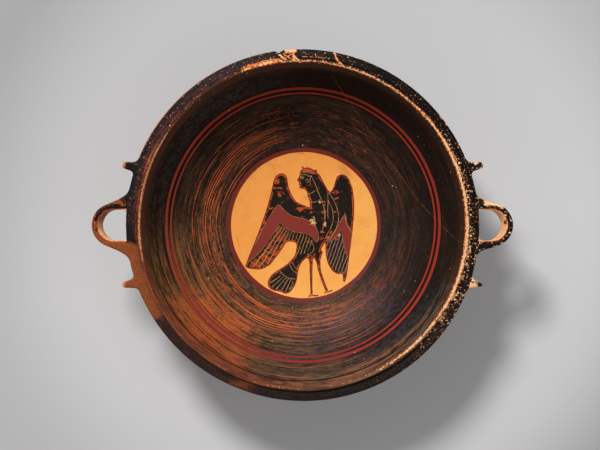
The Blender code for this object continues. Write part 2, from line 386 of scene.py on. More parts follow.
def wall_behind(bowl):
    """The outside of the wall as close-set points, the inside moved out by the wall's thickness."""
    height_at, shoulder = outline_of_wall(bowl)
    waist = bowl.foot_radius - bowl.foot_flare
    points = []
    for k in range(WALL_POINTS + 1):
        radius = bowl.floor_flat + (shoulder - bowl.floor_flat) * math.sin(math.pi / 2 * k / WALL_POINTS)
        slope = (height_at(radius) - height_at(radius - 1e-5)) / 1e-5
        share_up = min(max((radius - waist) / (shoulder - waist) * 2, 0.0), 1.0)
        blend = share_up * share_up * (3 - 2 * share_up)
        depth = (bowl.floor + (bowl.wall - bowl.floor) * blend) / math.hypot(1, slope)
        points.append((radius + slope * depth, height_at(radius) - depth))
    return points


def turned_outline(bowl):
    """The section's points (radius, height) from the floor's middle round to the underside's middle,
    and how many of the turned steps each point takes at once."""
    height_at, shoulder = outline_of_wall(bowl)
    rings = round(PAINTED_EDGE / bowl.facet)
    radii = [PAINTED_EDGE * k / rings for k in range(rings + 1)]
    inside = [(radius, height_at(radius)) for radius in radii]
    for k in range(1, WALL_RINGS + 1):
        out = math.sin(math.pi / 2 * k / WALL_RINGS) ** 0.9
        radius = PAINTED_EDGE + (shoulder - PAINTED_EDGE) * out
        inside.append((radius, height_at(radius)))
    lip_outer = bowl.rim_radius - bowl.ledge_width
    half = bowl.lip_thickness / 2
    crown = arc((lip_outer - half, bowl.height - half), half, 172, 0, CROWN_STEPS)
    start = inside[-1]
    run = (crown[0][0] - start[0], crown[0][1] - start[1])
    rise = [(start[0] + run[0] * s**1.25, start[1] + run[1] * s) for s in LIP_SHARES]
    ledge_top = bowl.height - bowl.lip_rise
    edge_top = ledge_top - bowl.ledge_fall
    groove = [(lip_outer + out, ledge_top + up) for out, up in GROOVE]
    ledge_end = bowl.rim_radius - bowl.rim_round
    ledge = [
        (lip_outer + (ledge_end - lip_outer) * s, ledge_top - bowl.ledge_fall * s**1.5)
        for s in LEDGE_SHARES
    ]
    edge = arc((ledge_end, edge_top - bowl.rim_round), bowl.rim_round, 90, 0, CORNER_STEPS)
    bottom = edge_top - bowl.rim_depth
    face = [(bowl.rim_radius, edge_top - bowl.rim_depth * s) for s in FACE_SHARES]
    under = arc((ledge_end, bottom + bowl.rim_round), bowl.rim_round, 0, -90, CORNER_STEPS)
    outside = outside_outline(bowl, bottom)
    points = inside + rise + crown + groove + ledge + edge + face + under + outside
    return points, [steps_at_once(bowl, k, point, len(radii)) for k, point in enumerate(points)]


def steps_at_once(bowl, place, point, painted):
    """Halves the facets towards the middle, and outside the painted floor, to keep them even."""
    if place >= painted:
        outside = place > painted + RINGS_TO_OUTSIDE
        return 4 if outside and point[1] < bowl.height - bowl.lip_rise - bowl.rim_depth else 2
    for steps in (8, 4, 2):
        if steps * 2 * math.pi * point[0] / bowl.steps < bowl.facet * 1.1:
            return steps
    return 1


def outside_outline(bowl, bottom):
    """From the rim's underside down the wall, round the foot and in to the underside's middle."""
    wall = wall_behind(bowl)
    waist = bowl.foot_radius - bowl.foot_flare
    corner = bowl.rim_round
    upper = [p for p in wall if p[0] > waist and p[1] < bottom - corner][::-1]
    down = upper[::4] + [upper[-1]]
    hollow = arc((down[0][0] + corner, bottom - corner), corner, 90, 180, 5)[:-1]
    waist_height = down[-1][1]
    fall = waist_height - bowl.foot_band
    turns = [math.radians(90 * k / 6) for k in range(1, 7)]
    flare = [(waist + bowl.foot_flare * (1 - math.cos(a)), waist_height - fall * math.sin(a)) for a in turns]
    edge = bowl.foot_edge
    low = arc((bowl.foot_radius - edge, edge), edge, 0, -90, 4)
    inner = bowl.foot_radius - bowl.foot_ring
    inner_round = arc((inner + edge / 2, edge / 2), edge / 2, 270, 185, 3)
    top = bowl.floor_lift
    rise = [(inner - bowl.foot_splay * s, top * 0.8 * s) for s in (0.4, 0.7, 1.0)]
    cove = [(inner - bowl.foot_splay - top * 0.12, top * 0.95), (inner - bowl.foot_splay - top * 0.35, top)]
    floor = [(radius, top) for radius in (0.045, 0.03, 0.015, 0.0)]
    return hollow + down + flare + low + inner_round + rise + cove + floor


def turned_tree():
    """Turns an outline about the wheel's axis. Its points carry how many steps each takes at once.

    A grid's rows are the outline's points and its columns the steps. Columns that a point skips fall on
    the last one kept, where they merge.
    """
    inputs = {"Steps": "Int", "Out of round": "Float", "Flattest bearing": "Float", "Rim radius": "Float"}
    nodes, given = geometry_tree("turned_clay", {**inputs, "Slip": "Material"})
    outline = given["Geometry"]
    count = nodes.make("GeometryNodeAttributeDomainSize", {"Geometry": outline}, component="MESH")
    rows = Value(nodes, count.outputs["Point Count"])
    steps = Value(nodes, given["Steps"])
    sheet = nodes.make("GeometryNodeMeshGrid", {"Vertices X": steps + 1, "Vertices Y": rows})
    index = Value(nodes, nodes.make("GeometryNodeInputIndex").outputs[0])
    column = nodes.math("FLOOR", (index + 0.5) / rows)
    row = index - column * rows

    def from_outline(kind, value):
        sockets = {"Geometry": outline, "Value": value, "Index": row}
        return nodes.make("GeometryNodeSampleIndex", sockets, data_type=kind, domain="POINT").outputs[0]

    held = nodes.make("GeometryNodeInputNamedAttribute", {"Name": SKIP}, data_type="FLOAT").outputs[0]
    skipped = Value(nodes, from_outline("FLOAT", held))
    radius, _, height = nodes.split(
        from_outline("FLOAT_VECTOR", nodes.make("GeometryNodeInputPosition").outputs[0])
    )
    kept = nodes.math("FLOOR", (column + 0.25) / skipped) * skipped
    turn = kept / steps * (2 * math.pi)
    size = {name: Value(nodes, given[name]) for name in ("Out of round", "Flattest bearing", "Rim radius")}
    reach = radius - pulled_in(nodes, size, turn) * (radius / size["Rim radius"]) ** 3
    place = nodes.join(reach * nodes.math("COSINE", turn), reach * nodes.math("SINE", turn), height)
    moved = nodes.make("GeometryNodeSetPosition", {"Geometry": sheet.outputs[0], "Position": place})
    closed = nodes.make("GeometryNodeMergeByDistance", {"Geometry": moved.outputs[0], "Distance": 1e-6})
    return close_tree(nodes, closed.outputs[0], given["Slip"])


def line_mesh(name, points):
    mesh = bpy.data.meshes.new(name)
    mesh.from_pydata(points, [(k, k + 1) for k in range(len(points) - 1)], [])
    return mesh


def turned_bowl(bowl, slip):
    """The bowl as it comes off the wheel, foot and all."""
    points, skips = turned_outline(bowl)
    outline = line_mesh("outline", [(radius, 0.0, height) for radius, height in points])
    outline.attributes.new(SKIP, "FLOAT", "POINT").data.foreach_set("value", skips)
    values = {
        "Steps": bowl.steps, "Out of round": bowl.out_of_round, "Flattest bearing": bowl.flattest,
        "Rim radius": bowl.rim_radius, "Slip": slip,
    }
    return outward(grown("turned_clay", outline, turned_tree(), values))


def outward(mesh):
    """Turns a closed mesh's faces outwards."""
    shape = bmesh.new()
    shape.from_mesh(mesh)
    bmesh.ops.recalc_face_normals(shape, faces=shape.faces)
    if shape.calc_volume(signed=True) < 0:
        bmesh.ops.reverse_faces(shape, faces=shape.faces)
    shape.to_mesh(mesh)
    shape.free()
    return mesh


def labels(group):
    """A property group's values by their labels, to fill the inputs of a tree."""
    return {
        prop.name: getattr(group, prop.identifier)
        for prop in group.bl_rna.properties
        if prop.identifier not in ("rna_type", "name")
    }


def one_side(grips, side):
    """The sizes that only one side's handle and spurs have, under the names that both sides share."""
    return {
        name.removeprefix(side + " ").capitalize(): value
        for name, value in labels(grips).items()
        if name.startswith(side + " ")
    }


def grips_tree(inputs):
    """One side's handle and spurs as a solid of clay, grown smoothly out of the bowl's rim.

    Every shape is a number that is negative inside it: roughly the distance to its surface.
    """
    nodes, given = geometry_tree("pulled_clay", {**{name: "Float" for name in inputs}, "Slip": "Material"})
    size = {name: Value(nodes, given[name]) for name in inputs}
    x, y, z = hand_shaped(nodes, size)
    outwards = x * size["Side"]
    aside = abs(y)
    edge = size["Ledge edge"]
    top = edge - size["Drop"]
    rise = size["Rise"] * (outwards - size["Rim radius"]).most(0.0) / size["Handle reach"]
    handle = strap_field(nodes, size, outwards, aside, z - rise - top + size["Strap height"] / 2)
    spur = spur_field(nodes, size, outwards, aside, y, top - z)
    wall, middle = bowl_field(nodes, size, x, y, z)
    clay = melted(handle.least(spur), wall, size["Fillet"])
    clay = -melted(-clay, edge + rise - z, size["Strap rounding"] / 2)
    clay = clay.most(middle)
    low = nodes.join(size["From"], -size["Half span"], size["Bottom"])
    high = nodes.join(size["To"], size["Half span"], edge + size["Rise"] + 2 * size["Voxel"])
    counts = [(b - a) / size["Voxel"] for a, b in zip(nodes.split(low), nodes.split(high))]
    sockets = {"Density": 0.5 - clay * 100, "Background": -1.0, "Min": low, "Max": high}
    sockets.update({f"Resolution {axis}": count for axis, count in zip("XYZ", counts)})
    volume = nodes.make("GeometryNodeVolumeCube", sockets).outputs[0]
    sockets = {"Volume": volume, "Threshold": 0.5}
    solid = nodes.make("GeometryNodeVolumeToMesh", sockets, resolution_mode="GRID")
    return close_tree(nodes, solid.outputs[0], given["Slip"])


def melted(first, second, reach):
    """Two shapes joined, with the hollow corner between them filled as far as the reach."""
    near = (reach - abs(first - second)).most(0.0)
    return first.least(second) - near * near / reach / 4


def hand_shaped(nodes, size):
    """The place in space, pushed about a little so that nothing is quite straight."""
    place = nodes.make("GeometryNodeInputPosition").outputs[0]
    pushed = []
    for k, axis in enumerate(nodes.split(place)):
        moved = nodes.vector("ADD", place, (0.3 * k, 0.7, 0.1 * k))
        pushed.append(axis + (nodes.noise(moved, size["Knead scale"], 1.0) - 0.5) * size["Knead"])
    return pushed


def rounded(nodes, overs, radius):
    """The distance to a box with round edges, from how far a place is beyond each face."""
    beyond = [(over + radius).most(0.0) for over in overs] + [0.0] * (3 - len(overs))
    worst = overs[0]
    for over in overs[1:]:
        worst = worst.most(over)
    return nodes.vector_length(nodes.join(*beyond)) + (worst + radius).least(0.0) - radius


def strap_field(nodes, size, outwards, aside, above):
    """The strap: two arms and a round bend, leaning outwards, wider where it springs from the rim."""
    half = (size["Handle width"] - size["Strap thickness"]) / 2
    lean = nodes.math("TANGENT", size["Lean"])
    bend = size["Rim radius"] + size["Handle reach"] - size["Strap height"] / 2 * lean
    bend = bend - size["Strap thickness"] / 2 - half
    upright = outwards - above * lean
    out = (upright - bend).most(0.0)
    across = (out * out + aside * aside) ** 0.5 - half
    left = (1 - (outwards - size["Rim radius"]) / size["Flare length"]).most(0.0).least(1.6)
    flare = size["Root flare"] * left**1.5
    thick = abs(across - flare / 2) - (size["Strap thickness"] + flare) / 2
    return rounded(nodes, [thick, abs(above) - size["Strap height"] / 2], size["Strap rounding"])


def spur_field(nodes, size, outwards, aside, y, below):
    """The two spurs: short horns that splay away from the handle and taper to blunt tips."""
    bearing = size["Spur bearing"]
    splay = size["Spur splay"]
    ahead = outwards - size["Rim radius"] * nodes.math("COSINE", bearing)
    beside = aside - size["Rim radius"] * nodes.math("SINE", bearing)
    forwards = nodes.math("COSINE", splay)
    sideways = nodes.math("SINE", splay)
    along = ahead * forwards + beside * sideways
    across = beside * forwards - ahead * sideways
    taper = (along / size["Spur length"]).most(-0.5).least(1.0)
    back = y.ramp(-0.01, 0.01)
    tip = size["Front spur tip"] + (size["Back spur tip"] - size["Front spur tip"]) * back
    width = size["Spur width"] + (tip - size["Spur width"]) * taper
    height = size["Spur height"] + (size["Spur tip height"] - size["Spur height"]) * taper
    overs = [along - size["Spur length"], abs(across) - width / 2, abs(below - height / 2) - height / 2]
    return rounded(nodes, overs, size["Spur rounding"])


def bowl_field(nodes, size, x, y, z):
    """The rim and the wall under it, a hair inside the turned bowl's surface, and the wall's middle."""
    turn = nodes.math("ARCTAN2", y, x)
    radius = nodes.vector_length(nodes.join(x, y, 0.0))
    radius = radius + pulled_in(nodes, size, turn)
    corner = size["Rim rounding"]
    deep = size["Rim depth"] / 2
    beyond = radius - size["Rim radius"]
    rim = rounded(nodes, [beyond, abs(z - size["Ledge edge"] + deep) - deep], corner)
    slope = size["Wall slope"]
    lean = (slope * slope + 1) ** 0.5
    drop = z - size["Ledge edge"] + size["Rim depth"]
    wall = (radius - size["Wall radius"] - drop * slope) / lean
    body = melted(rim, wall, corner) + size["Sunk"]
    middle = -(wall + size["Wall thickness"] / 2)
    return body, middle


def pulled_in(nodes, size, turn):
    """How far the rim stands inside a true circle at a bearing."""
    swing = nodes.math("COSINE", (turn - size["Flattest bearing"]) * 2)
    return size["Out of round"] * (swing + 1) / 2


def pulled_grips(bowl, grips, slip, side, own):
    """The solid of one side's handle and spurs. Its inner end is hidden inside the bowl's wall."""
    wall = wall_behind(bowl)
    edge = bowl.height - bowl.lip_rise - bowl.ledge_fall
    under = edge - bowl.rim_depth
    radius, slope = crossing(wall, under)
    sizes = {
        **labels(bowl), **labels(grips), **own,
        "Side": side, "Ledge edge": edge, "Wall radius": radius, "Wall slope": slope, "Sunk": 0.04 * MM,
        "Half span": 0.4 * bowl.rim_radius, "Bottom": edge - grips.strap_height - 1.6 * grips.fillet,
    }
    near = bowl.rim_radius - 0.02
    far = bowl.rim_radius + grips.reach + 2 * grips.voxel
    sizes.update({"From": min(near * side, far * side), "To": max(near * side, far * side)})
    tree = grips_tree(sizes)
    start = bpy.data.meshes.new("clay")
    return outward(grown("pulled_clay", start, tree, {**sizes, "Slip": slip}))


def crossing(points, height):
    """The radius of a line of points where it reaches a height, and its slope outwards there."""
    for low, high in zip(points, points[1:]):
        if low[1] <= height <= high[1]:
            slope = (high[0] - low[0]) / (high[1] - low[1])
            return low[0] + slope * (height - low[1]), slope
    raise ValueError("the wall doesn't reach that height")


def chip_tool(bowl):
    """A rough skewed wedge that breaks a notch out of the ledge's edge, right through the ledge."""
    edge = bowl.height - bowl.lip_rise - bowl.ledge_fall
    outwards = Vector((math.cos(bowl.chip_bearing), math.sin(bowl.chip_bearing)))
    sideways = Vector((-outwards.y, outwards.x))
    half = bowl.chip_width / 2
    clear = 0.004
    shape = bmesh.new()
    rows = []
    for height, shrink in ((edge + clear, 1.05), (edge, 0.94), (edge - 0.5 * bowl.chip_depth, 0.86),
                           (edge - bowl.chip_depth, 0.72)):
        inner = bowl.rim_radius - bowl.chip_bite * shrink
        widen = half * (bowl.rim_radius + clear - inner) / bowl.chip_bite
        corners = [(inner, 0.25 * half), (bowl.rim_radius + clear, 0.75 * widen),
                   (bowl.rim_radius + clear, -1.1 * widen), (inner, 0.05 * half)]
        points = [outwards * r + sideways * s for r, s in corners]
        rows.append([shape.verts.new((point.x, point.y, height)) for point in points])
    for low, high in zip(rows, rows[1:]):
        for k in range(4):
            shape.faces.new((low[k], low[k - 1], high[k - 1], high[k]))
    shape.faces.new(rows[0])
    shape.faces.new(rows[-1][::-1])
    bmesh.ops.triangulate(shape, faces=shape.faces)
    bmesh.ops.subdivide_edges(shape, edges=shape.edges, cuts=5, use_grid_fill=True)
    for vert in shape.verts:
        vert.co += noise.noise_vector(vert.co / (1.6 * MM)) * 0.32 * MM
        vert.co += noise.noise_vector(vert.co / (0.6 * MM)) * 0.12 * MM
    mesh = bpy.data.meshes.new("chip")
    shape.to_mesh(mesh)
    shape.free()
    return outward(mesh)


def one_clay(turned, added, cut):
    """Joins the closed meshes of one body of clay and cuts the chip out of it."""
    body = linked("clay", turned)
    tools = [(mesh, "UNION") for mesh in added] + [(cut, "DIFFERENCE")]
    for mesh, operation in tools:
        step = body.modifiers.new(operation, "BOOLEAN")
        step.operation = operation
        step.solver = "MANIFOLD"
        step.object = linked("tool", mesh)
    done = bpy.data.meshes.new_from_object(body.evaluated_get(bpy.context.evaluated_depsgraph_get()))
    for step in body.modifiers:
        bpy.data.objects.remove(step.object)
    bpy.data.objects.remove(body)
    return done


def linked(name, mesh):
    piece = bpy.data.objects.new(name, mesh)
    bpy.context.collection.objects.link(piece)
    return piece


# The painted picture, in shares of its radius from its middle, to the right and up

LEFT_WING = (
    (-0.30, 0.705), (-0.23, 0.65), (-0.20, 0.50), (-0.11, 0.33), (0.04, 0.255), (0.16, 0.20), (0.20, -0.02),
    (0.18, -0.20), (0.16, -0.30), (0.06, -0.36), (-0.06, -0.32), (-0.105, -0.25), (-0.15, -0.225),
    (-0.235, -0.235), (-0.30, -0.33), (-0.38, -0.44), (-0.47, -0.545), (-0.60, -0.60), (-0.775, -0.575),
    (-0.775, -0.50), (-0.70, -0.31), (-0.61, -0.08), (-0.52, 0.18), (-0.45, 0.42), (-0.395, 0.64),
)
BODY = (
    (0.05, 0.46), (0.08, 0.32), (0.085, 0.24), (0.12, 0.08), (0.13, -0.12), (0.10, -0.30), (0.13, -0.40),
    (0.21, -0.41), (0.25, -0.30), (0.34, -0.17), (0.44, -0.02), (0.48, 0.13), (0.45, 0.30), (0.37, 0.43),
    (0.31, 0.49), (0.20, 0.50),
)
HEAD = (
    (0.05, 0.785), (-0.02, 0.765), (-0.05, 0.725), (-0.055, 0.69), (-0.06, 0.665), (-0.093, 0.612),
    (-0.068, 0.598), (-0.076, 0.583), (-0.062, 0.572), (-0.072, 0.556), (-0.058, 0.541), (-0.062, 0.513),
    (-0.035, 0.495), (0.01, 0.487), (0.05, 0.44), (0.07, 0.36), (0.20, 0.36), (0.33, 0.44), (0.315, 0.50),
    (0.27, 0.58), (0.235, 0.65), (0.20, 0.70), (0.13, 0.755),
)
TAIL = (
    (-0.085, -0.20), (-0.10, -0.31), (-0.125, -0.41), (-0.21, -0.515), (-0.31, -0.585), (-0.42, -0.66),
    (-0.485, -0.755), (-0.475, -0.84), (-0.41, -0.885), (-0.31, -0.905), (-0.25, -0.93), (-0.19, -0.91),
    (-0.125, -0.83), (-0.09, -0.73), (-0.075, -0.62), (-0.03, -0.51), (0.06, -0.435), (0.14, -0.42),
    (0.16, -0.30), (0.05, -0.20),
)
RIGHT_WING = (
    (0.52, 0.69), (0.45, 0.655), (0.415, 0.55), (0.385, 0.48), (0.345, 0.44), (0.32, 0.40), (0.38, 0.22),
    (0.37, -0.02), (0.305, -0.20), (0.295, -0.34), (0.32, -0.50), (0.39, -0.62), (0.47, -0.665),
    (0.52, -0.66), (0.535, -0.75), (0.555, -0.77), (0.585, -0.68), (0.615, -0.45), (0.65, -0.18),
    (0.68, 0.10), (0.685, 0.30), (0.66, 0.50), (0.60, 0.645),
)
LEGS = (
    (
        (0.035, -0.41), (0.074, -0.50), (0.079, -0.64), (0.088, -0.82), (0.094, -0.95), (0.119, -0.95),
        (0.118, -0.82), (0.118, -0.64), (0.122, -0.50), (0.13, -0.41),
    ),
    (
        (0.125, -0.40), (0.168, -0.50), (0.196, -0.62), (0.238, -0.75), (0.283, -0.86), (0.315, -0.917),
        (0.338, -0.903), (0.313, -0.843), (0.274, -0.74), (0.234, -0.61), (0.227, -0.48), (0.25, -0.35),
    ),
)
KNOBS = (((0.165, 0.735), 0.018), ((-0.015, 0.785), 0.014))
LEFT_RED = (
    (-0.345, 0.275), (-0.26, 0.195), (-0.16, 0.125), (0.0, 0.085), (0.09, 0.05), (0.165, -0.03),
    (0.20, -0.15), (0.185, -0.22), (0.155, -0.215), (0.10, -0.15), (0.0, -0.11), (-0.13, -0.09),
    (-0.24, -0.04), (-0.325, 0.03), (-0.38, -0.06), (-0.50, -0.24), (-0.61, -0.38), (-0.69, -0.455),
    (-0.755, -0.49), (-0.70, -0.34), (-0.61, -0.16), (-0.52, 0.02), (-0.435, 0.16),
)
RIGHT_RED = (
    (0.565, 0.145), (0.585, 0.02), (0.655, -0.09), (0.645, -0.25), (0.62, -0.44), (0.60, -0.43),
    (0.56, -0.33), (0.53, -0.18), (0.515, -0.06), (0.45, -0.15), (0.34, -0.225), (0.39, -0.14),
    (0.46, -0.02), (0.51, 0.07),
)
HAIR_RED = (
    (-0.03, 0.74), (0.01, 0.772), (0.07, 0.772), (0.13, 0.745), (0.165, 0.705), (0.12, 0.70), (0.05, 0.715),
    (0.0, 0.715),
)
LEFT_FEATHERS = (
    (-0.335, 0.0), (-0.25, -0.055), (-0.13, -0.105), (0.0, -0.125), (0.09, -0.165), (0.12, -0.21),
    (0.08, -0.30), (0.04, -0.37), (-0.08, -0.40), (-0.09, -0.30), (-0.09, -0.21), (-0.15, -0.20),
    (-0.25, -0.21), (-0.32, -0.32), (-0.40, -0.43), (-0.49, -0.53), (-0.62, -0.575), (-0.735, -0.56),
    (-0.70, -0.49), (-0.61, -0.42), (-0.50, -0.28), (-0.39, -0.10),
)
RIGHT_FEATHERS = (
    (0.33, -0.235), (0.44, -0.18), (0.51, -0.10), (0.53, -0.22), (0.56, -0.35), (0.605, -0.47),
    (0.595, -0.60), (0.56, -0.72), (0.53, -0.63), (0.46, -0.635), (0.39, -0.58), (0.33, -0.46),
    (0.315, -0.34),
)
TAIL_FEATHERS = (
    (-0.27, -0.70), (-0.38, -0.68), (-0.455, -0.76), (-0.445, -0.83), (-0.39, -0.865), (-0.30, -0.885),
    (-0.25, -0.905), (-0.20, -0.89), (-0.15, -0.82), (-0.15, -0.75),
)
INCISED = (
    ((0.10, 0.675), (0.135, 0.60), (0.165, 0.535), (0.20, 0.44), (0.245, 0.33), (0.285, 0.20), (0.29, 0.08)),
    ((0.325, 0.44), (0.33, 0.30), (0.325, 0.20), (0.33, 0.10)),
    (
        (0.345, 0.44), (0.41, 0.33), (0.455, 0.22), (0.475, 0.10), (0.44, -0.04), (0.37, -0.15),
        (0.31, -0.215),
    ),
    ((0.34, 0.32), (0.385, 0.22), (0.40, 0.10), (0.375, -0.02), (0.32, -0.12), (0.29, -0.18)),
    ((0.26, 0.29), (0.285, 0.16), (0.275, 0.02), (0.24, -0.10)),
    ((0.055, 0.425), (0.10, 0.435), (0.15, 0.465)),
    ((0.075, 0.325), (0.13, 0.315), (0.20, 0.33)),
    ((-0.05, 0.705), (-0.01, 0.685), (0.03, 0.69), (0.07, 0.665), (0.10, 0.675)),
    ((0.10, 0.665), (0.085, 0.61), (0.09, 0.545)),
    ((0.03, 0.612), (0.045, 0.628), (0.062, 0.615), (0.058, 0.59), (0.042, 0.578)),
    ((-0.048, 0.642), (-0.025, 0.656), (0.002, 0.645), (-0.022, 0.634), (-0.048, 0.642)),
    ((-0.066, 0.571), (-0.052, 0.573), (-0.042, 0.568)),
    ((0.555, 0.17), (0.57, 0.07), (0.60, -0.02), (0.645, -0.09)),
    ((-0.16, -0.50), (-0.12, -0.57), (-0.09, -0.60)),
    ((-0.19, -0.54), (-0.15, -0.61), (-0.11, -0.64)),
    ((-0.33, -0.62), (-0.27, -0.68), (-0.20, -0.72), (-0.12, -0.73)),
    ((0.10, -0.215), (0.135, -0.29), (0.12, -0.36), (0.05, -0.40)),
)
TOES = (
    ((0.108, -0.945), (0.09, -0.958), (0.07, -0.962)),
    ((0.108, -0.945), (0.14, -0.957), (0.19, -0.952)),
    ((0.32, -0.90), (0.30, -0.91), (0.285, -0.915)),
    ((0.32, -0.90), (0.35, -0.90), (0.385, -0.882)),
)
LINE_WIDTH = 0.0036
TOE_WIDTH = 0.017
FAR_OUT = 0.06


def smooth_line(points, closed=False, steps=7):
    """A curve through a few points."""
    middle = np.array(points)
    if closed:
        before, after, beyond = (np.roll(middle, -shift, axis=0) for shift in (-1, 1, 2))
    else:
        before = np.vstack([middle[:1], middle[:-1]])[:-1]
        after = middle[1:]
        beyond = np.vstack([middle[2:], middle[-1:]])
        middle = middle[:-1]
    parts = []
    for t in np.arange(steps) / steps:
        bend = 2 * before - 5 * middle + 4 * after - beyond
        twist = 3 * middle - before - 3 * after + beyond
        parts.append((2 * middle + (after - before) * t + bend * t**2 + twist * t**3) / 2)
    line = np.stack(parts, axis=1).reshape(-1, 2)
    return np.vstack([line, line[:1] if closed else [points[-1]]])


def to_line(places, line):
    """How far each place is from a line, and on which side of it: 1 for left and -1 for right."""
    distance = np.empty(len(places))
    side = np.empty(len(places))
    step = line[1:] - line[:-1]
    for start in range(0, len(places), 4096):
        some = slice(start, start + 4096)
        offset = places[some, None] - line[None, :-1]
        along = np.clip((offset * step).sum(2) / (step * step).sum(1), 0, 1)
        away = offset - along[..., None] * step
        squares = (away * away).sum(2)
        nearest = squares.argmin(1)
        rows = np.arange(len(nearest))
        distance[some] = np.sqrt(squares[rows, nearest])
        turn = step[nearest, 0] * offset[rows, nearest, 1] - step[nearest, 1] * offset[rows, nearest, 0]
        side[some] = np.where(turn < 0, -1.0, 1.0)
    return distance, side


def enclosed(places, line):
    """Which places lie inside a closed line."""
    inside = np.zeros(len(places), bool)
    for a, b in zip(line[:-1], line[1:]):
        if a[1] != b[1]:
            crosses = (a[1] > places[:, 1]) != (b[1] > places[:, 1])
            where = a[0] + (places[:, 1] - a[1]) / (b[1] - a[1]) * (b[0] - a[0])
            inside ^= crosses & (places[:, 0] < where)
    return inside


def depth_in(places, outlines, margin=FAR_OUT):
    """How deep each place lies inside the nearest of some outlines, and below 0 outside them all."""
    depth = np.full(len(places), -margin)
    for points in outlines:
        line = smooth_line(points, closed=True)
        near = ((places > line.min(0) - margin) & (places < line.max(0) + margin)).all(1)
        some = places[near]
        distance = to_line(some, line)[0]
        found = np.where(enclosed(some, line), distance, -distance)
        depth[near] = np.maximum(depth[near], found)
    return depth


def nearest_stroke(places, strokes):
    """For each place the distance to the nearest stroke, and the same in half widths with its side."""
    best = np.full(len(places), 1.0)
    across = np.full(len(places), 1.0)
    for points, width in strokes:
        line = smooth_line(points)
        near = ((places > line.min(0) - 0.1) & (places < line.max(0) + 0.1)).all(1).nonzero()[0]
        distance, side = to_line(places[near], line)
        closer = distance < best[near]
        best[near[closer]] = distance[closer]
        across[near[closer]] = (distance * side / width)[closer]
    return best, across


def painted_fields(bowl, points):
    """What the picture's painter laid where: numbers for each of the mesh's points."""
    places = points[:, :2] / bowl.picture_radius
    inside = (np.hypot(*places.T) < 1.1) & (points[:, 2] > bowl.floor_lift + bowl.floor / 2)
    places = places[inside]
    rounds = [[(c[0] + r * math.cos(k), c[1] + r * math.sin(k)) for k in range(6)] for c, r in KNOBS]
    strokes = [(line, LINE_WIDTH) for line in INCISED] + [(line, TOE_WIDTH) for line in TOES]
    near, across = nearest_stroke(places, strokes)
    fields = {
        "figure": depth_in(places, (LEFT_WING, BODY, HEAD, TAIL, RIGHT_WING, *LEGS, *rounds)),
        "added_red": depth_in(places, (LEFT_RED, RIGHT_RED, HAIR_RED)),
        "feathered": depth_in(places, (LEFT_FEATHERS, RIGHT_FEATHERS, TAIL_FEATHERS)),
        "near_stroke": near,
        "across_stroke": across,
    }
    filled = {}
    for name, values in fields.items():
        everywhere = np.full(len(points), 1.0 if "stroke" in name else -FAR_OUT)
        everywhere[inside] = values
        filled[name] = everywhere
    return filled


# What the mesh carries for its finish

def surface_fields(bowl, points):
    """How far along the turned outline each point lies, and how far off it. Then how far along it the
    ledge's face is, and the outline's whole length."""
    outline = np.array(turned_outline(bowl)[0])
    radius = np.hypot(points[:, 0], points[:, 1])
    swing = np.cos((np.arctan2(points[:, 1], points[:, 0]) - bowl.flattest) * 2)
    true = radius + bowl.out_of_round * (swing + 1) / 2 * (radius / bowl.rim_radius) ** 3
    section = np.stack([true, points[:, 2]], axis=1)
    lengths = np.append(0, np.cumsum(np.hypot(*np.diff(outline, axis=0).T)))
    away, along = np.full(len(points), 1.0), np.zeros(len(points))
    for k in range(len(outline) - 1):
        step = outline[k + 1] - outline[k]
        portion = np.clip((section - outline[k]) @ step / (step @ step), 0, 1)
        distance = np.hypot(*(section - outline[k] - portion[:, None] * step).T)
        closer = distance < away
        away[closer] = distance[closer]
        along[closer] = lengths[k] + portion[closer] * (lengths[k + 1] - lengths[k])
    face_middle = bowl.height - bowl.lip_rise - bowl.ledge_fall - bowl.rim_depth / 2
    turning_point = np.argmin(np.hypot(outline[:, 0] - bowl.rim_radius, outline[:, 1] - face_middle))
    return along, away, lengths[turning_point], lengths[-1]


def strap_across(bowl, grips, points):
    """How far each point is outside the strap's middle line, and below 0 towards the loop's middle."""
    lean = np.tan(np.where(points[:, 0] > 0, grips.right_lean, grips.left_lean))
    half = (grips.width - grips.thickness) / 2
    bend = bowl.rim_radius + grips.reach - grips.strap_height / 2 * lean - grips.thickness / 2 - half
    outwards = np.abs(points[:, 0])
    top = bowl.height - bowl.lip_rise - bowl.ledge_fall - grips.drop
    rise = grips.rise * np.clip(outwards - bowl.rim_radius, 0, None) / grips.reach
    upright = outwards - (points[:, 2] - rise - top + grips.strap_height / 2) * lean
    return np.hypot(np.clip(upright - bend, 0, None), points[:, 1]) - half


def add_fields(mesh, bowl, grips):
    """Keeps on the mesh what the finish needs to know, in millimetres where it is a length."""
    points = np.empty(len(mesh.vertices) * 3)
    mesh.vertices.foreach_get("co", points)
    points = points.reshape(-1, 3)
    along, away, edge, end = surface_fields(bowl, points)
    painted = painted_fields(bowl, points)
    fields = {name: values * bowl.picture_radius * 1000 for name, values in painted.items()}
    fields["across_stroke"] = painted["across_stroke"]
    fields[OUTER_SIDE] = np.clip((along - edge) * 1000 + 0.5, 0, 1)
    fields["across_strap"] = strap_across(bowl, grips, points) * 1000
    for name, values in fields.items():
        mesh.attributes.new(name, "FLOAT", "POINT").data.foreach_set("value", values.astype(np.float32))
    return points, along, away, edge, end


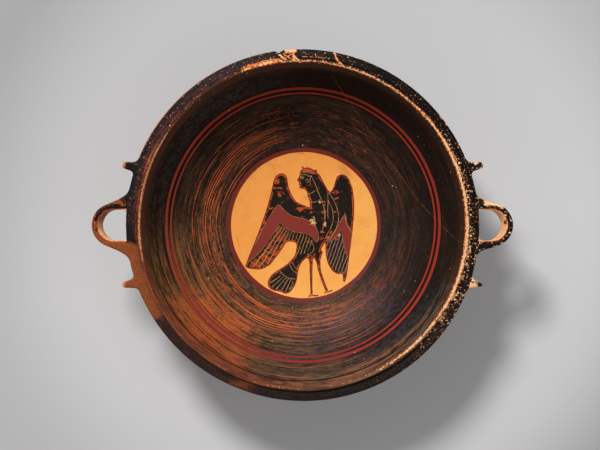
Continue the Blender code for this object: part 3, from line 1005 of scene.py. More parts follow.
def lay_out(mesh, fields):
    """Unrolls the surface into a UV map: the inside and the outside as discs, the grips in a corner."""
    points, along, away, edge, end = fields
    turn = np.arctan2(points[:, 1], points[:, 0])
    ray = np.stack([np.cos(turn), np.sin(turn)], axis=1)
    inside = INSIDE_MIDDLE + ray * (INSIDE_RADIUS * along / edge)[:, None]
    outside = OUTSIDE_MIDDLE + ray * (OUTSIDE_RADIUS * (end - along) / (end - edge))[:, None]
    corners, face_of, sizes = faces_of(mesh)
    mean = np.bincount(face_of, along[corners]) / sizes
    grip = np.bincount(face_of, away[corners]) / sizes > OFF_THE_BOWL
    grip &= np.bincount(face_of, np.hypot(*points[corners, :2].T)) / sizes > GRIPS_START
    east = np.bincount(face_of, points[corners, 0]) > 0
    unrolled = np.where((mean > edge)[face_of][:, None], outside[corners], inside[corners])
    layer = mesh.uv_layers.new(name="OFBake")
    layer.data.foreach_set("uv", unrolled.astype(np.float32).ravel())
    for chosen, low in ((grip & east, EAST_LOW), (grip & ~east, WEST_LOW)):
        project(mesh, chosen)
        found = np.empty(len(corners) * 2, np.float32)
        layer = mesh.uv_layers["OFBake"]
        layer.data.foreach_get("uv", found)
        found = found.reshape(-1, 2)
        here = chosen[face_of]
        unrolled[here] = found[here] * GRIPS_SHARE + (GRIPS_LEFT, low)
        layer.data.foreach_set("uv", unrolled.astype(np.float32).ravel())


def project(mesh, chosen):
    """Unrolls the chosen faces over the whole square."""
    piece = linked("unrolled", mesh)
    mesh.polygons.foreach_set("select", chosen)
    bpy.context.view_layer.objects.active = piece
    piece.select_set(True)
    bpy.ops.object.mode_set(mode="EDIT")
    bpy.ops.uv.smart_project(angle_limit=math.radians(60), island_margin=0.012)
    bpy.ops.object.mode_set(mode="OBJECT")
    bpy.data.objects.remove(piece)


# The finish

class Coat:
    """The colour, roughness and height of a surface, laid on in layers."""

    def __init__(self, nodes, paint, shade, rough, height):
        self.nodes = nodes
        self.paint = paint
        self.colour = shade
        self.rough = rough
        self.height = height

    def lay(self, mask, name, rough=None, height=0.0):
        """Lays a layer of a named colour where the mask is 1. Its height is in millimetres."""
        self.colour = self.nodes.blend(mask, self.colour, self.paint[name])
        if rough is not None:
            self.rough = self.rough + (rough - self.rough) * mask
        if height:
            self.height = self.height + mask * height


class Surface:
    """Where a point is on the bowl, in millimetres, and the noise that wheel and wear follow."""

    def __init__(self, nodes):
        self.nodes = nodes
        self.point = nodes.make("ShaderNodeTexCoord").outputs["Object"]
        self.x, self.y, self.z = [axis * 1000 for axis in nodes.split(self.point)]
        self.radius = (self.x * self.x + self.y * self.y + 0.0001) ** 0.5
        self.east = self.x / self.radius
        self.north = self.y / self.radius
        self.outside = nodes.attribute(OUTER_SIDE)
        wander = nodes.join(self.east * 1.4, self.north * 1.4, 3.0)
        self.swayed = self.radius + (nodes.noise(wander, 1.0) - 0.5) * 2.5

    def toward(self, bearing, near, far):
        """1 within some degrees of a bearing, and 0 further off. Bearings turn left from the right
        handle's middle."""
        turn = math.radians(bearing)
        cosine = self.east * math.cos(turn) + self.north * math.sin(turn)
        return cosine.ramp(math.cos(math.radians(far)), math.cos(math.radians(near)))

    def turning(self, width, reach, seed=0.0, detail=1.0):
        """Noise drawn out along the wheel's turning, in marks of a width in millimetres."""
        place = self.nodes.join(self.swayed / width + seed, self.east * reach, self.north * reach)
        return self.nodes.noise(place, 1.0, detail)

    def scores(self, spacing, width, reach, seed, kept):
        """Thin lines drawn round the wheel's axis. Each wanders a little, and fades in and out."""
        nodes = self.nodes
        row = self.swayed / spacing + seed
        index = nodes.math("FLOOR", row)
        shown = nodes.noise(nodes.join(index * 3.7, self.east * reach, self.north * reach), 1.0, 2.0)
        aside = abs(row - index - 0.5 + (shown - 0.5)) * spacing
        thick = (shown + kept - 0.5).ramp(0.0, 0.16) * width
        return (thick - aside).ramp(0.0, 0.3)

    def cloud(self, size, seed=0.0, detail=2.0, roughness=0.5):
        """Cloudy noise with features of a size in millimetres."""
        place = self.nodes.vector("ADD", self.point, (seed, 0.0, seed))
        return self.nodes.noise(place, 1000 / size, detail, roughness)

    def segment(self, start, end):
        """The distance to a straight line between two places seen from above."""
        run = (end[0] - start[0], end[1] - start[1])
        length_squared = run[0] ** 2 + run[1] ** 2
        ahead = (self.x - start[0]) * (run[0] / length_squared)
        ahead = (ahead + (self.y - start[1]) * (run[1] / length_squared)).most(0.0).least(1.0)
        aside = self.x - start[0] - ahead * run[0]
        along = self.y - start[1] - ahead * run[1]
        return (aside * aside + along * along) ** 0.5


def finishes(slip):
    """The four finishes of the one body of clay, in the order of the mesh's material slots."""
    names = [prop.identifier for prop in slip.bl_rna.properties if prop.type == "FLOAT"]
    paint = {name: (*getattr(slip, name), 1.0) for name in names}
    return [
        finish("painted_floor", painted_floor, paint, gloss=0.15),
        finish("brushed_wall", brushed_wall, paint, gloss=0.13),
        finish("worn_rim", worn_rim, paint, gloss=0.06),
        finish("outside_slip", outside_slip, paint, gloss=0.35),
    ]


def finish(name, layers, paint, gloss):
    material = bpy.data.materials.new(name)
    material.use_nodes = True
    nodes = Nodes(material.node_tree)
    shader = nodes.tree.nodes["Principled BSDF"]
    coat = layers(nodes, Surface(nodes), paint)
    bump = nodes.make("ShaderNodeBump", {"Strength": 1.0, "Distance": MM, "Height": coat.height})
    nodes.fill(shader.inputs["Base Color"], coat.colour)
    nodes.fill(shader.inputs["Roughness"], coat.rough)
    nodes.fill(shader.inputs["Normal"], bump.outputs[0])
    shader.inputs["Specular IOR Level"].default_value = gloss
    return material


def brushed_wall(nodes, surface, paint):
    """Slip brushed on while the bowl turned, with two red bands, specks and a mended hairline break. Painted
    shade darkens the upper wall, with a painted highlight on its upper left and a painted reflection on its
    lower right.
    """
    radius = surface.radius
    lower = surface.toward(240, 10, 100)
    patch = surface.turning(8.0, 3.0, 17.0)
    dabs = surface.turning(1.1, 12.0, 7.0, 2.0)
    mottle = surface.cloud(5.0, 4.0, 4.0, 0.65)
    grain = surface.cloud(1.1, 12.0, 1.0)
    tone = 0.12 + 0.10 * radius.ramp(136, 90) + 0.31 * lower + (patch - 0.5) * 0.4
    worn = (dabs - 0.5) * 0.9 + (mottle - 0.5) * 0.6 + (grain - 0.5) * 0.7
    tone = tone + worn * (0.5 + 0.5 * lower) + 0.17 * surface.toward(112, 40, 75) * radius.band(112, 126, 8)
    lifted = 0.10 * surface.toward(252, 18, 50) + 0.17 * surface.toward(201, 14, 27)
    tone = tone + lifted * radius.ramp(104, 124) - 0.09 * surface.toward(228, 20, 50) * radius.ramp(92, 84)
    stops = {
        0.0: paint["black"], 0.2: paint["brown_black"], 0.4: paint["brown"], 0.64: paint["olive"],
        0.9: paint["light_olive"],
    }
    rough = 0.55 + 0.25 * (dabs - 0.5)
    coat = Coat(nodes, paint, nodes.stops(tone, stops), rough, (dabs - 0.5) * 0.07 + patch * 0.08)
    # Painted shade: the upper wall darkened high under the rim, where the main light's shadow falls
    upper = radius.band(133.5, 145.5, 6.0) * surface.toward(95, 60, 110)
    coat.lay(upper * 0.72, "black")
    # Painted highlight: a grey gloss high on the wall's upper left
    bloom = radius.band(134, 147, 6.0) * surface.toward(138, 15, 50) * mottle.ramp(0.35, 0.65)
    coat.lay(bloom * 0.65, "bloom")
    misfired = radius.ramp(98, 114) * surface.toward(229, 8, 26)
    blotch = surface.cloud(22.0, 8.0, 3.0) * 1.6 + (mottle + grain + dabs) * 0.8
    coat.lay(misfired * (blotch + 0.4 * misfired).ramp(1.7, 2.6) * 0.95, "misfired", 0.55)
    coat.lay(misfired * grain.ramp(0.50, 0.30) * 0.4, "brown")
    freckled = (grain + (dabs - 0.5) * 0.7 + (mottle - 0.5) * 0.6).ramp(0.64, 0.80)
    coat.lay(freckled * radius.band(80, 114, 16) * surface.toward(110, 38, 82) * 0.32, "orange_slip")
    brushed_lines(surface, coat, dabs, grain)
    # Greyer high on the wall's lower right, in the same grey
    veil = radius.ramp(128, 140) * surface.toward(288, 25, 60)
    coat.lay(veil * (mottle + dabs * 0.5).ramp(0.55, 0.95) * 0.55, "bloom", 0.5)
    # Painted reflection: a purple-blue sheen on the wall's lower right, where the glossy slip faces the main
    # light
    sheen = radius.band(90, 134, 16) * surface.toward(-68, 18, 40) * (mottle + grain * 0.4).ramp(0.68, 0.84)
    coat.lay(sheen * 0.6, "sheen", 0.45)
    ring = (surface.swayed + (patch - 0.5)).ramp(RING_OUTER + 0.3, RING_OUTER - 0.3)
    coat.lay(ring, "ring_red", 0.5)
    red_bands(surface, coat, dabs, patch)
    lip_face(surface, coat, dabs, patch, grain)
    specks(nodes, surface, coat)
    hairline(surface, coat)
    return coat


def brushed_lines(surface, coat, dabs, grain):
    """Fine orange lines where the brush left the slip thin, and black ones where it laid it on thick."""
    radius = surface.radius
    speckled = grain.ramp(0.28, 0.46)
    warm = 0.10 + 0.90 * surface.toward(208, 48, 126)
    near = radius.band(85, 101, 7)
    belt = near * surface.toward(175, 30, 75) * (dabs + (grain - 0.5) * 0.6).ramp(0.40, 0.66)
    coat.lay(belt * 0.45, "red_brown")
    belt = near * surface.toward(250, 50, 110) * (dabs + (grain - 0.5) * 0.6).ramp(0.44, 0.70)
    coat.lay(belt * 0.4, "orange_slip")
    broad = surface.scores(5.2, 1.7, 1.2, 61.0, 0.02)
    coat.lay(broad * radius.band(80, 110, 10) * speckled * 0.6 * warm, "red_brown", 0.52)
    dark = surface.scores(3.3, 0.75, 1.2, 33.0, 0.04)
    coat.lay(dark * (0.35 + 0.4 * warm), "black")
    dark = surface.scores(4.9, 0.8, 2.2, 83.0, 0.02)
    coat.lay(dark * (0.3 + 0.4 * warm), "brown_black")
    dashes = surface.scores(2.2, 0.42, 6.0, 41.0, -0.02) * radius.band(80, 116, 8)
    coat.lay(dashes * surface.toward(130, 50, 110) * speckled * 0.6, "orange_slip", 0.52)
    dense = surface.scores(2.1, 0.46, 0.9, 3.0, 0.02)
    coat.lay(dense * radius.band(79, 112, 8) * warm * (0.6 + 0.4 * speckled), "bright_slip", 0.52)
    dense = surface.scores(2.8, 0.46, 1.3, 93.0, -0.01)
    coat.lay(dense * radius.band(79, 122, 8) * warm * speckled * 0.9, "bright_slip", 0.52)
    sparse = surface.scores(3.2, 0.44, 1.0, 23.0, -0.01)
    coat.lay(sparse * warm * (0.45 + 0.45 * radius.ramp(140, 105)) * speckled, "bright_slip", 0.52)


def red_bands(surface, coat, dabs, patch):
    """The pair of thin red bands high on the wall, with black between them."""
    place = surface.radius + (patch - 0.5) * 0.6 + 0.2 * surface.east
    both = place.band(*INNER_BAND, 0.4) + place.band(*OUTER_BAND, 0.4)
    around = place.band(INNER_BAND[0] - 1.1, OUTER_BAND[1] + 1.1, 0.8)
    between = (INNER_BAND[1] + OUTER_BAND[0]) / 2
    line = place.band(between - 0.2, between + 0.2, 0.3) * surface.toward(222, 15, 50)
    coat.lay(around * (0.85 - 0.5 * surface.toward(240, 20, 70)), "black")
    coat.lay(line * 0.8, "orange_slip", 0.5)
    coat.lay(both * dabs.ramp(0.16, 0.34), "band_red", 0.55)
    coat.lay(both * surface.toward(225, 55, 95) * 0.85, "band_purple", 0.55)
    coat.lay(both * surface.toward(178, 24, 48) * 0.28, "orange_slip")
    coat.lay(both * surface.toward(100, 15, 50) * 0.12, "brown_black")


def lip_face(surface, coat, dabs, patch, grain):
    """The shoulder and the lip's inner face: a brown belt, and grooves with orange lines below."""
    radius = surface.radius
    belt = radius.ramp(145.6, 148.4)
    below = surface.toward(268, 60, 100)
    shoulder = radius.band(140.5, 147.5, 1.5) * surface.toward(200, 40, 85)
    coat.lay(shoulder * dabs.ramp(0.60, 0.40) * 0.3, "black")
    coat.lay(belt * 0.8, "lip_brown", 0.5)
    coat.lay(belt * surface.toward(20, 20, 60) * 0.5, "black", 0.5)
    warm = surface.toward(242, 30, 56) * (dabs + (grain - 0.5) * 0.5).ramp(0.40, 0.62)
    coat.lay(belt * warm, "red_brown")
    olive = radius.band(142.0, 151.0, 2.0) * surface.toward(300, 15, 50)
    coat.lay(olive * (dabs + (grain - 0.5) * 0.4).ramp(0.38, 0.62) * 0.6, "olive_grey")
    coat.lay(radius.band(145.4, 146.3, 0.4) * below * 0.85, "black")
    orange = radius.band(143.2, 143.6, 0.35) + radius.band(147.3, 147.7, 0.35)
    coat.lay(orange * surface.toward(276, 42, 66) * patch.ramp(0.40, 0.58) * 0.75, "bright_slip")


def specks(nodes, surface, coat):
    """Small places where the slip came off, and a few clusters of them low on the wall."""
    ragged = (surface.cloud(1.0, 6.0, 1.0) - 0.5) * 0.12
    distance, tints = nodes.cells(surface.point, 1000 / 10.0)
    lost = (0.03 + 0.05 * tints[1] + ragged - distance).ramp(0.0, 0.02) * tints[0].ramp(0.60, 0.62)
    coat.lay(lost * 0.85, "lost_slip", 0.8, -0.1)
    distance, tints = nodes.cells(surface.point, 1000 / 3.6)
    cluster = surface.radius.band(100, 122, 6) * surface.toward(235, 14, 34) * 0.35
    dust = (0.10 + ragged - distance).ramp(0.0, 0.03) * (tints[0] + cluster * tints[1]).ramp(0.78, 0.80)
    coat.lay(dust * (0.4 + cluster), "worn_clay", 0.7)


# The mended break down the wall, by its corners seen from above, in millimetres
BREAK = ((28.0, 140.3), (67.0, 86.4), (110.5, 23.7), (147.0, -16.6))


def hairline(surface, coat):
    """A mended break down the wall. Its thin line fades here and there."""
    shake = surface.cloud(3.5, 18.0)
    shown = 0.62 + 0.38 * surface.cloud(8.0, 19.0, 2.0).ramp(0.42, 0.62)
    for start, end in zip(BREAK, BREAK[1:]):
        hair = (0.02 + (shake - 0.5) * 0.9 - surface.segment(start, end)).ramp(-0.3, 0.1)
        coat.lay(hair * shown * 0.9, "crack", 0.7)


# Where flakes came off the figure: each one's place and size in millimetres
FLAKED_OFF = (((9.0, 5.0), 3.8), ((15.5, 23.5), 1.6), ((20.5, 2.0), 2.4), ((34.0, -9.0), 1.7))


def painted_floor(nodes, surface, paint):
    """The pale round floor in its dark red ring, and the winged figure on it."""
    radius = surface.radius + (surface.turning(6.0, 4.0, 13.0) - 0.5) * 0.7
    cloud = surface.cloud(24, 2.0)
    fleck = surface.cloud(4.0, 7.0, 3.0, 0.6)
    grain = surface.cloud(1.4, 5.0)
    coat = Coat(nodes, paint, paint["ground"], 0.55 + 0.1 * (grain - 0.5), grain * 0.05)
    pale_ground(nodes, surface, coat, cloud, fleck, grain)
    figure = nodes.attribute("figure") + (grain - 0.5) * 0.6
    shape = figure.ramp(-0.15, 0.15)
    black = figure.ramp(1.1, 1.35)
    coat.lay(shape, "outline_red", 0.5, 0.03)
    glow = figure.band(1.05, 1.5 + 1.8 * (cloud - 0.3), 0.25)
    coat.lay(glow * fleck.ramp(0.40, 0.56) * 0.85, "fringe", 0.55)
    thin = 1 - glow * fleck.ramp(0.40, 0.56)
    coat.lay(black * thin, "figure_black", 0.45)
    coat.lay(black * thin * grain.ramp(0.35, 0.75) * 0.3, "brown")
    smear = nodes.noise(nodes.join(surface.x * 0.11, surface.y * 0.2, 3.0), 1.0, 4.0, 0.6)
    coat.lay(black * (smear + rubbed(surface)).ramp(0.61, 0.69) * 0.75, "fringe", 0.5)
    coat.lay(black * smear.ramp(0.39, 0.29) * 0.5, "red_brown", 0.5)
    red = nodes.attribute("added_red")
    coat.lay(red.ramp(-0.12, 0.12) * figure.ramp(0.3, 0.5), "added_red", 0.6, 0.03)
    cap = surface.y.ramp(48, 50) * red.ramp(0.5, 0.8) * smear.ramp(0.36, 0.50)
    coat.lay(cap * 0.85, "fringe", 0.5)
    feathered = nodes.attribute("feathered")
    feathers, crossed = feather_lines(nodes, surface)
    west = (-12 - surface.x).ramp(0.0, 10.0) * (surface.y + 42.0).ramp(0.0, 3.0)
    coat.lay(west * feathered.ramp(0.0, 0.3) * black * fleck.ramp(0.42, 0.60) * 0.55, "fringe", 0.6)
    east = surface.x.ramp(18, 24) * feathered.ramp(0.0, 0.3) * black
    coat.lay(east * fleck.ramp(0.42, 0.58) * 0.45, "sheen", 0.5)
    orange = crossed + feathers * west * smear.ramp(0.44, 0.54)
    coat.lay(orange.least(1.0) * feathered.ramp(0.0, 0.3) * black * 0.85, "fringe", 0.6)
    across = nodes.attribute("across_stroke")
    stroke = abs(across).ramp(1.25, 0.7) * nodes.attribute("near_stroke").ramp(0.8, 0.55)
    lines = red.band(-0.28, 0.06, 0.2) * figure.ramp(1.0, 1.3)
    lines = lines.most(feathers * feathered.ramp(-0.1, 0.2)).most(stroke * shape)
    coat.lay(lines * (0.35 + 0.45 * fleck.ramp(0.60, 0.44)), "incised", 0.6, -0.08)
    coat.lay(stroke * (1 - shape), "outline_red", 0.5)
    flaked = (surface.cloud(1.8, 14.0, 3.0) - 0.5) * 4.5
    for place, size in FLAKED_OFF:
        lost = (size - surface.segment(place, (place[0] + 0.5, place[1] - size))) / size
        lost = (lost + flaked).ramp(0.55, 0.75) * lost.ramp(0.0, 0.2)
        coat.lay(lost * shape, "lost_slip", 0.8, -0.1)
    distance, tints = nodes.cells(surface.point, 1000 / 8.0)
    dots = (0.06 - distance).ramp(0.0, 0.03) * tints[0].ramp(0.5, 0.52) * shape
    coat.lay(dots, "lost_slip", 0.7)
    ring = (radius - 0.35 * surface.east).ramp(RING_INNER - 0.2, RING_INNER + 0.2)
    coat.lay(ring, "ring_red", 0.5, 0.03)
    return coat


def rubbed(surface):
    """Where the figure's slip is rubbed most: the breast, two edges of the left wing and the back."""
    wear = surface.segment((-6.0, 14.0), (5.0, 16.0)).ramp(7.0, 2.0) * 0.11
    wear = wear.most(surface.segment((-27.0, 47.0), (-23.0, 30.0)).ramp(6.0, 1.5) * 0.11)
    for start, end in (((21.0, 31.0), (17.0, -17.0)), ((-36.0, 10.0), (-50.0, -25.0))):
        wear = wear.most(surface.segment(start, end).ramp(4.0, 1.0) * 0.088)
    return wear


def pale_ground(nodes, surface, coat, cloud, fleck, grain):
    """The clay round the figure, polished with ochre and then stained and scratched, with painted shade
    towards the upper left.
    """
    coat.lay(cloud.ramp(0.40, 0.75) * 0.5, "ground_deep")
    coat.lay(surface.toward(310, 40, 100) * (surface.radius / 72) * 0.2, "ground_deep")
    # Painted shade: the ground darker towards the upper left
    coat.lay(surface.toward(140, 70, 115) * 0.6, "ground_deep")
    coat.lay(fleck.ramp(0.58, 0.80) * 0.3, "worn_clay")
    coat.lay(grain.ramp(0.56, 0.80) * 0.4, "ground_deep")
    stain = surface.cloud(16.0, 31.0, 3.0).ramp(0.52, 0.70)
    coat.lay(stain * surface.north.ramp(-0.2, 0.9) * 0.45, "stain")
    turned = surface.scores(2.2, 0.7, 2.5, 21.0, -0.08) * surface.radius.ramp(54, 66)
    coat.lay(turned * (0.15 + 0.35 * surface.toward(190, 30, 70)), "misfired")
    distance, tints = nodes.cells(surface.point, 1000 / 9.0)
    dots = (0.04 + 0.06 * tints[1] - distance).ramp(0.0, 0.03) * tints[0].ramp(0.60, 0.62)
    coat.lay(dots * 0.85, "sheen", 0.6)


def feather_lines(nodes, surface):
    """Scratched lines for feathers: fans on the left wing and the tail, slanted rows elsewhere."""
    wing = nodes.math("ARCTAN2", surface.x - 9.0, 40.0 - surface.y) / 0.052
    slanted = (0.945 * surface.x - 0.325 * surface.y) / 3.1
    tail = nodes.math("ARCTAN2", surface.x + 3.0, -34.0 - surface.y) / 0.115
    low = (-44.0 - surface.y).ramp(-0.1, 0.1) * (4.0 - surface.x).ramp(-0.1, 0.1)
    left = (-9.5 - surface.x).ramp(-0.1, 0.1)
    phase = slanted + (wing - slanted) * left
    phase = phase + (tail - phase) * low
    waver = (surface.cloud(9.0, 15.0) - 0.5) * 0.6
    lines = abs(nodes.math("FRACT", phase + waver + 50) - 0.5).ramp(0.385, 0.44)
    away = ((surface.x - 9.0) ** 2 + (surface.y - 40.0) ** 2) ** 0.5
    crossed = abs(nodes.math("FRACT", away / 4.2 + waver) - 0.5).ramp(0.32, 0.42)
    return lines, crossed * (-30 - surface.x).ramp(0.0, 8.0) * (1 - low)


def worn_rim(nodes, surface, paint):
    """The lip's worn crown, the black ledge with painted shade on its upper right and a painted sheen on its
    upper left, and the handles and spurs.
    """
    radius = surface.radius
    flakes = surface.cloud(1.9, 16.0, 4.0, 0.7)
    cloud = surface.cloud(7.0, 9.0, 3.0, 0.6)
    streak = surface.turning(1.3, 6.0, 5.0, 2.0)
    grain = surface.cloud(1.0, 27.0, 1.0)
    coat = Coat(nodes, paint, paint["lip_brown"], 0.5 + 0.2 * (streak - 0.5), flakes * 0.10)
    coat.lay(surface.toward(20, 20, 60) * 0.5, "black")
    below = surface.toward(255, 50, 85)
    coat.lay(below * streak.ramp(0.38, 0.62), "red_brown")
    coat.lay(surface.toward(300, 15, 45) * streak.ramp(0.36, 0.6) * 0.65, "olive_grey")
    coat.lay(below * (streak + grain * 0.5).ramp(0.66, 0.56) * 0.6, "brown_black")
    beside_crown = radius.band(150.4, 151.1, 0.5) * surface.toward(240, 50, 90)
    coat.lay(beside_crown * 0.8, "added_red", 0.6)
    ledge = radius.ramp(LEDGE_INNER - 0.4, LEDGE_INNER + 0.4)
    coat.lay(ledge, "ledge_black", 0.5)
    # Painted shade: the ledge darkened on its upper right
    coat.lay(ledge * surface.toward(38, 25, 60) * 0.7, "deep_black")
    # Painted sheen: a bluish sheen on the ledge's upper left, which faces the main light
    coat.lay(ledge * surface.toward(128, 35, 75) * 0.6, "blue_black")
    coat.lay(ledge * (streak + grain - 0.5).ramp(0.50, 0.75) * 0.45, "brown")
    coat.lay(ledge * surface.toward(265, 45, 80) * grain.ramp(0.35, 0.65) * 0.4, "ash")
    beside = radius.ramp(161.5, 157.5) * surface.toward(140, 26, 46)
    coat.lay(ledge * beside * (flakes + grain * 0.5 + cloud * 0.5).ramp(0.85, 1.1), "plum", 0.55)
    streaky = radius.band(154.2, 157.0, 1.2) * surface.toward(165, 15, 32)
    coat.lay(streaky * (streak + grain * 0.6).ramp(0.74, 0.94) * 0.5, "edge_orange", 0.55)
    fired = misfired_rim(surface, cloud, flakes)
    clay_tone = (flakes - 0.5) * 1.2 + (grain - 0.5) * 1.0
    coat.lay(ledge * fired, "misfired_rim", 0.55)
    coat.lay(ledge * fired * clay_tone.ramp(-0.02, -0.22) * 0.7, "brown")
    coat.lay(ledge * fired * clay_tone.ramp(0.10, 0.30) * 0.22, "bare_orange")
    brown = 0.12 * surface.toward(225, 8, 40) + 0.9 * surface.toward(249, 1.5, 5)
    coat.lay(ledge * brown * (streak + cloud + grain * 0.5).ramp(0.9, 1.5) * 0.8, "misfired_rim", 0.52)
    handle_clay(surface, coat, fired, cloud, flakes)
    # Orange along the ledge's outer edge, mostly on the upper left and a little on the lower left
    edge = radius.ramp(163.8, 164.4) * radius.ramp(165.8, 165.3)
    edge = edge * (surface.toward(125, 22, 34) + 0.4 * surface.toward(232, 14, 44))
    coat.lay(edge * (streak + grain * 0.5).ramp(0.60, 0.75), "edge_orange", 0.5)
    worn_crown(surface, coat, flakes, cloud, streak)
    pits(surface, coat, flakes)
    mends(surface, coat, flakes, grain)
    return coat


def worn_crown(surface, coat, flakes, cloud, streak):
    """The lip's crown, worn to the clay: broadly on the right, to a thin line elsewhere."""
    radius = surface.radius
    chips = surface.cloud(1.3, 22.0, 2.0)
    inward = 1.0 * surface.toward(302, 18, 38) + 0.7 * surface.toward(60, 13, 26)
    aside = abs(radius - CROWN_MIDDLE - 0.55 * surface.east + inward)
    below = surface.toward(246, 42, 60)
    wide = 1.35 * surface.toward(5, 15, 56) + 0.65 * surface.toward(77, 16, 30)
    wide = wide + 0.75 * surface.toward(310, 11, 15) + 0.75 * surface.toward(168, 14, 30)
    wide = wide + 0.15 * surface.toward(55, 10, 20)
    narrow = 0.13 * below + 0.5 * surface.toward(283, 11, 20) + 0.36 * surface.toward(109, 12, 24)
    half = wide - narrow - 0.1
    ragged = (streak - 0.5) * 1.4 + (cloud - 0.5) * 1.6 + (flakes - 0.5) * 6.5 + (chips - 0.5) * 3.2
    half = half + ragged * (1 - 0.65 * surface.toward(180, 55, 100))
    crown = (half - aside).ramp(0.0, 0.15)
    right = surface.toward(-12, 35, 70)
    margin = (half + 0.6 - aside).ramp(0.0, 0.3)
    spared = 1 - 0.65 * surface.toward(132, 16, 30) - 0.6 * below - 0.5 * surface.toward(304, 12, 30)
    coat.lay(margin * (0.65 + 0.2 * right) * spared, "edge_orange", 0.6)
    red = (0.35 + (streak - 0.5) * 1.6 - aside).ramp(0.0, 0.4)
    coat.lay(red * surface.toward(236, 40, 64) * 0.8, "ring_red", 0.6)
    coat.lay(crown, "worn_clay", 0.75, -0.12)
    coat.lay(crown * cloud.ramp(0.40, 0.60) * (1 - 0.7 * right) * 0.6, "bare_orange")
    nibbled = (flakes - 0.5 + (streak - 0.5) * 0.5 + (chips - 0.5) * 0.4).ramp(-0.10, -0.16)
    coat.lay(crown * nibbled * (0.55 + 0.35 * right), "brown_black")
    fine = (chips + streak * 0.6).ramp(0.86, 0.66)
    coat.lay(crown * fine * (0.2 + 0.3 * right), "bare_clay")
    zone = radius.band(152.8, 157.2, 1.6) * surface.toward(104.4, 5.6, 8.6)
    broad = (zone + (flakes - 0.5) * 4.0 + (streak - 0.5) * 1.4 + (chips - 0.5) * 2.0 - 0.66).ramp(0.0, 0.12)
    broad = broad * surface.toward(60, 100, 125)
    coat.lay(broad, "bare_orange", 0.75, -0.1)
    coat.lay(broad * (cloud + flakes * 0.5).ramp(0.76, 0.86) * 0.8, "worn_clay")
    coat.lay(broad * (flakes + chips * 0.6).ramp(0.76, 0.70) * 0.6, "edge_orange")


def misfired_rim(surface, cloud, flakes):
    """The rim's lower left, where the slip fired orange-brown. It starts sharply and fades to black."""
    below = -surface.y - surface.x * 0.4 - 81.4 + (cloud - 0.5) * 9 + (flakes - 0.5) * 6
    end = surface.toward(190, 14, 27)
    return below.ramp(-1.5, 2.0) * (-surface.x).ramp(20, 60) * (end + (cloud - 0.5) * 0.8).ramp(0.2, 0.6)


def handle_clay(surface, coat, fired, cloud, flakes):
    """The handles and spurs: black outside and above, bare inside the loops, with painted shade inside the
    left loop.
    """
    across = surface.nodes.attribute("across_strap") + (cloud - 0.5) * 1.2 + (flakes - 0.5) * 1.2
    radius = surface.radius
    grip = radius.ramp(GRIPS_INNER - 0.3, GRIPS_INNER + 0.3)
    west = -surface.x
    coat.lay(grip, "ledge_black", 0.5)
    coat.lay(grip * fired, "misfired_rim", 0.55)
    brown = cloud + flakes * 0.7 + 0.06 * across + 0.006 * (west - 178) - 0.10 * surface.y.ramp(-7, 2)
    brown = brown.ramp(0.80, 0.95)
    coat.lay(grip * west.ramp(166, 176) * brown * 0.9, "misfired_rim", 0.55)
    speckled = (flakes - 0.5 + (cloud - 0.5) * 0.8).ramp(0.07, 0.15)
    coat.lay(grip * west.ramp(164, 168) * speckled * 0.7, "edge_orange", 0.55)
    coat.lay(grip * west.ramp(164, 168) * (flakes - 0.5).ramp(-0.07, -0.14) * 0.6, "brown_black", 0.55)
    coat.lay(grip * across.band(-3.0, -2.2, 0.4), "edge_orange", 0.5)
    bare = grip * across.ramp(-2.5, -2.9)
    coat.lay(bare, "worn_clay", 0.7)
    coat.lay(bare * (cloud + flakes * 0.4).ramp(0.66, 0.86) * 0.6, "bare_clay")
    # Painted shade: the left loop's inner face darker towards its upper arm, which faces away from the main
    # light
    painted_shade_in_loop = west.ramp(166, 170) * (surface.y * 0.08 + flakes).ramp(0.1, 0.9)
    coat.lay(bare * painted_shade_in_loop * 0.8, "red_brown", 0.6)
    coat.lay(bare * painted_shade_in_loop * surface.y.ramp(0, 8) * 0.5, "brown", 0.6)
    spot = surface.x.ramp(187.6, 188.4) * surface.y.ramp(0.5, 1.5) * surface.y.ramp(5, 4)
    coat.lay(bare * spot * 0.9, "ledge_black")
    outer = across.band(2.5, 4.6, 0.6) * west.ramp(168, 173) * surface.y.ramp(4, 10)
    coat.lay(outer * 0.8, "misfired_rim")
    stripe = across.band(0.8, 5.4, 0.9) * surface.x.ramp(167, 171) * surface.x.ramp(190, 184)
    stripe = stripe * surface.y.ramp(11, 14) * surface.y.ramp(27, 25)
    coat.lay((stripe + (flakes - 0.5) * 2.2 - 0.45).ramp(0.0, 0.12), "worn_clay", 0.75, -0.1)
    tips = (abs(surface.y) - 40).ramp(0.0, 2.0) * (west + (flakes - 0.5) * 9).ramp(165.0, 166.0)
    coat.lay(tips * 0.7, "bare_orange", 0.75)


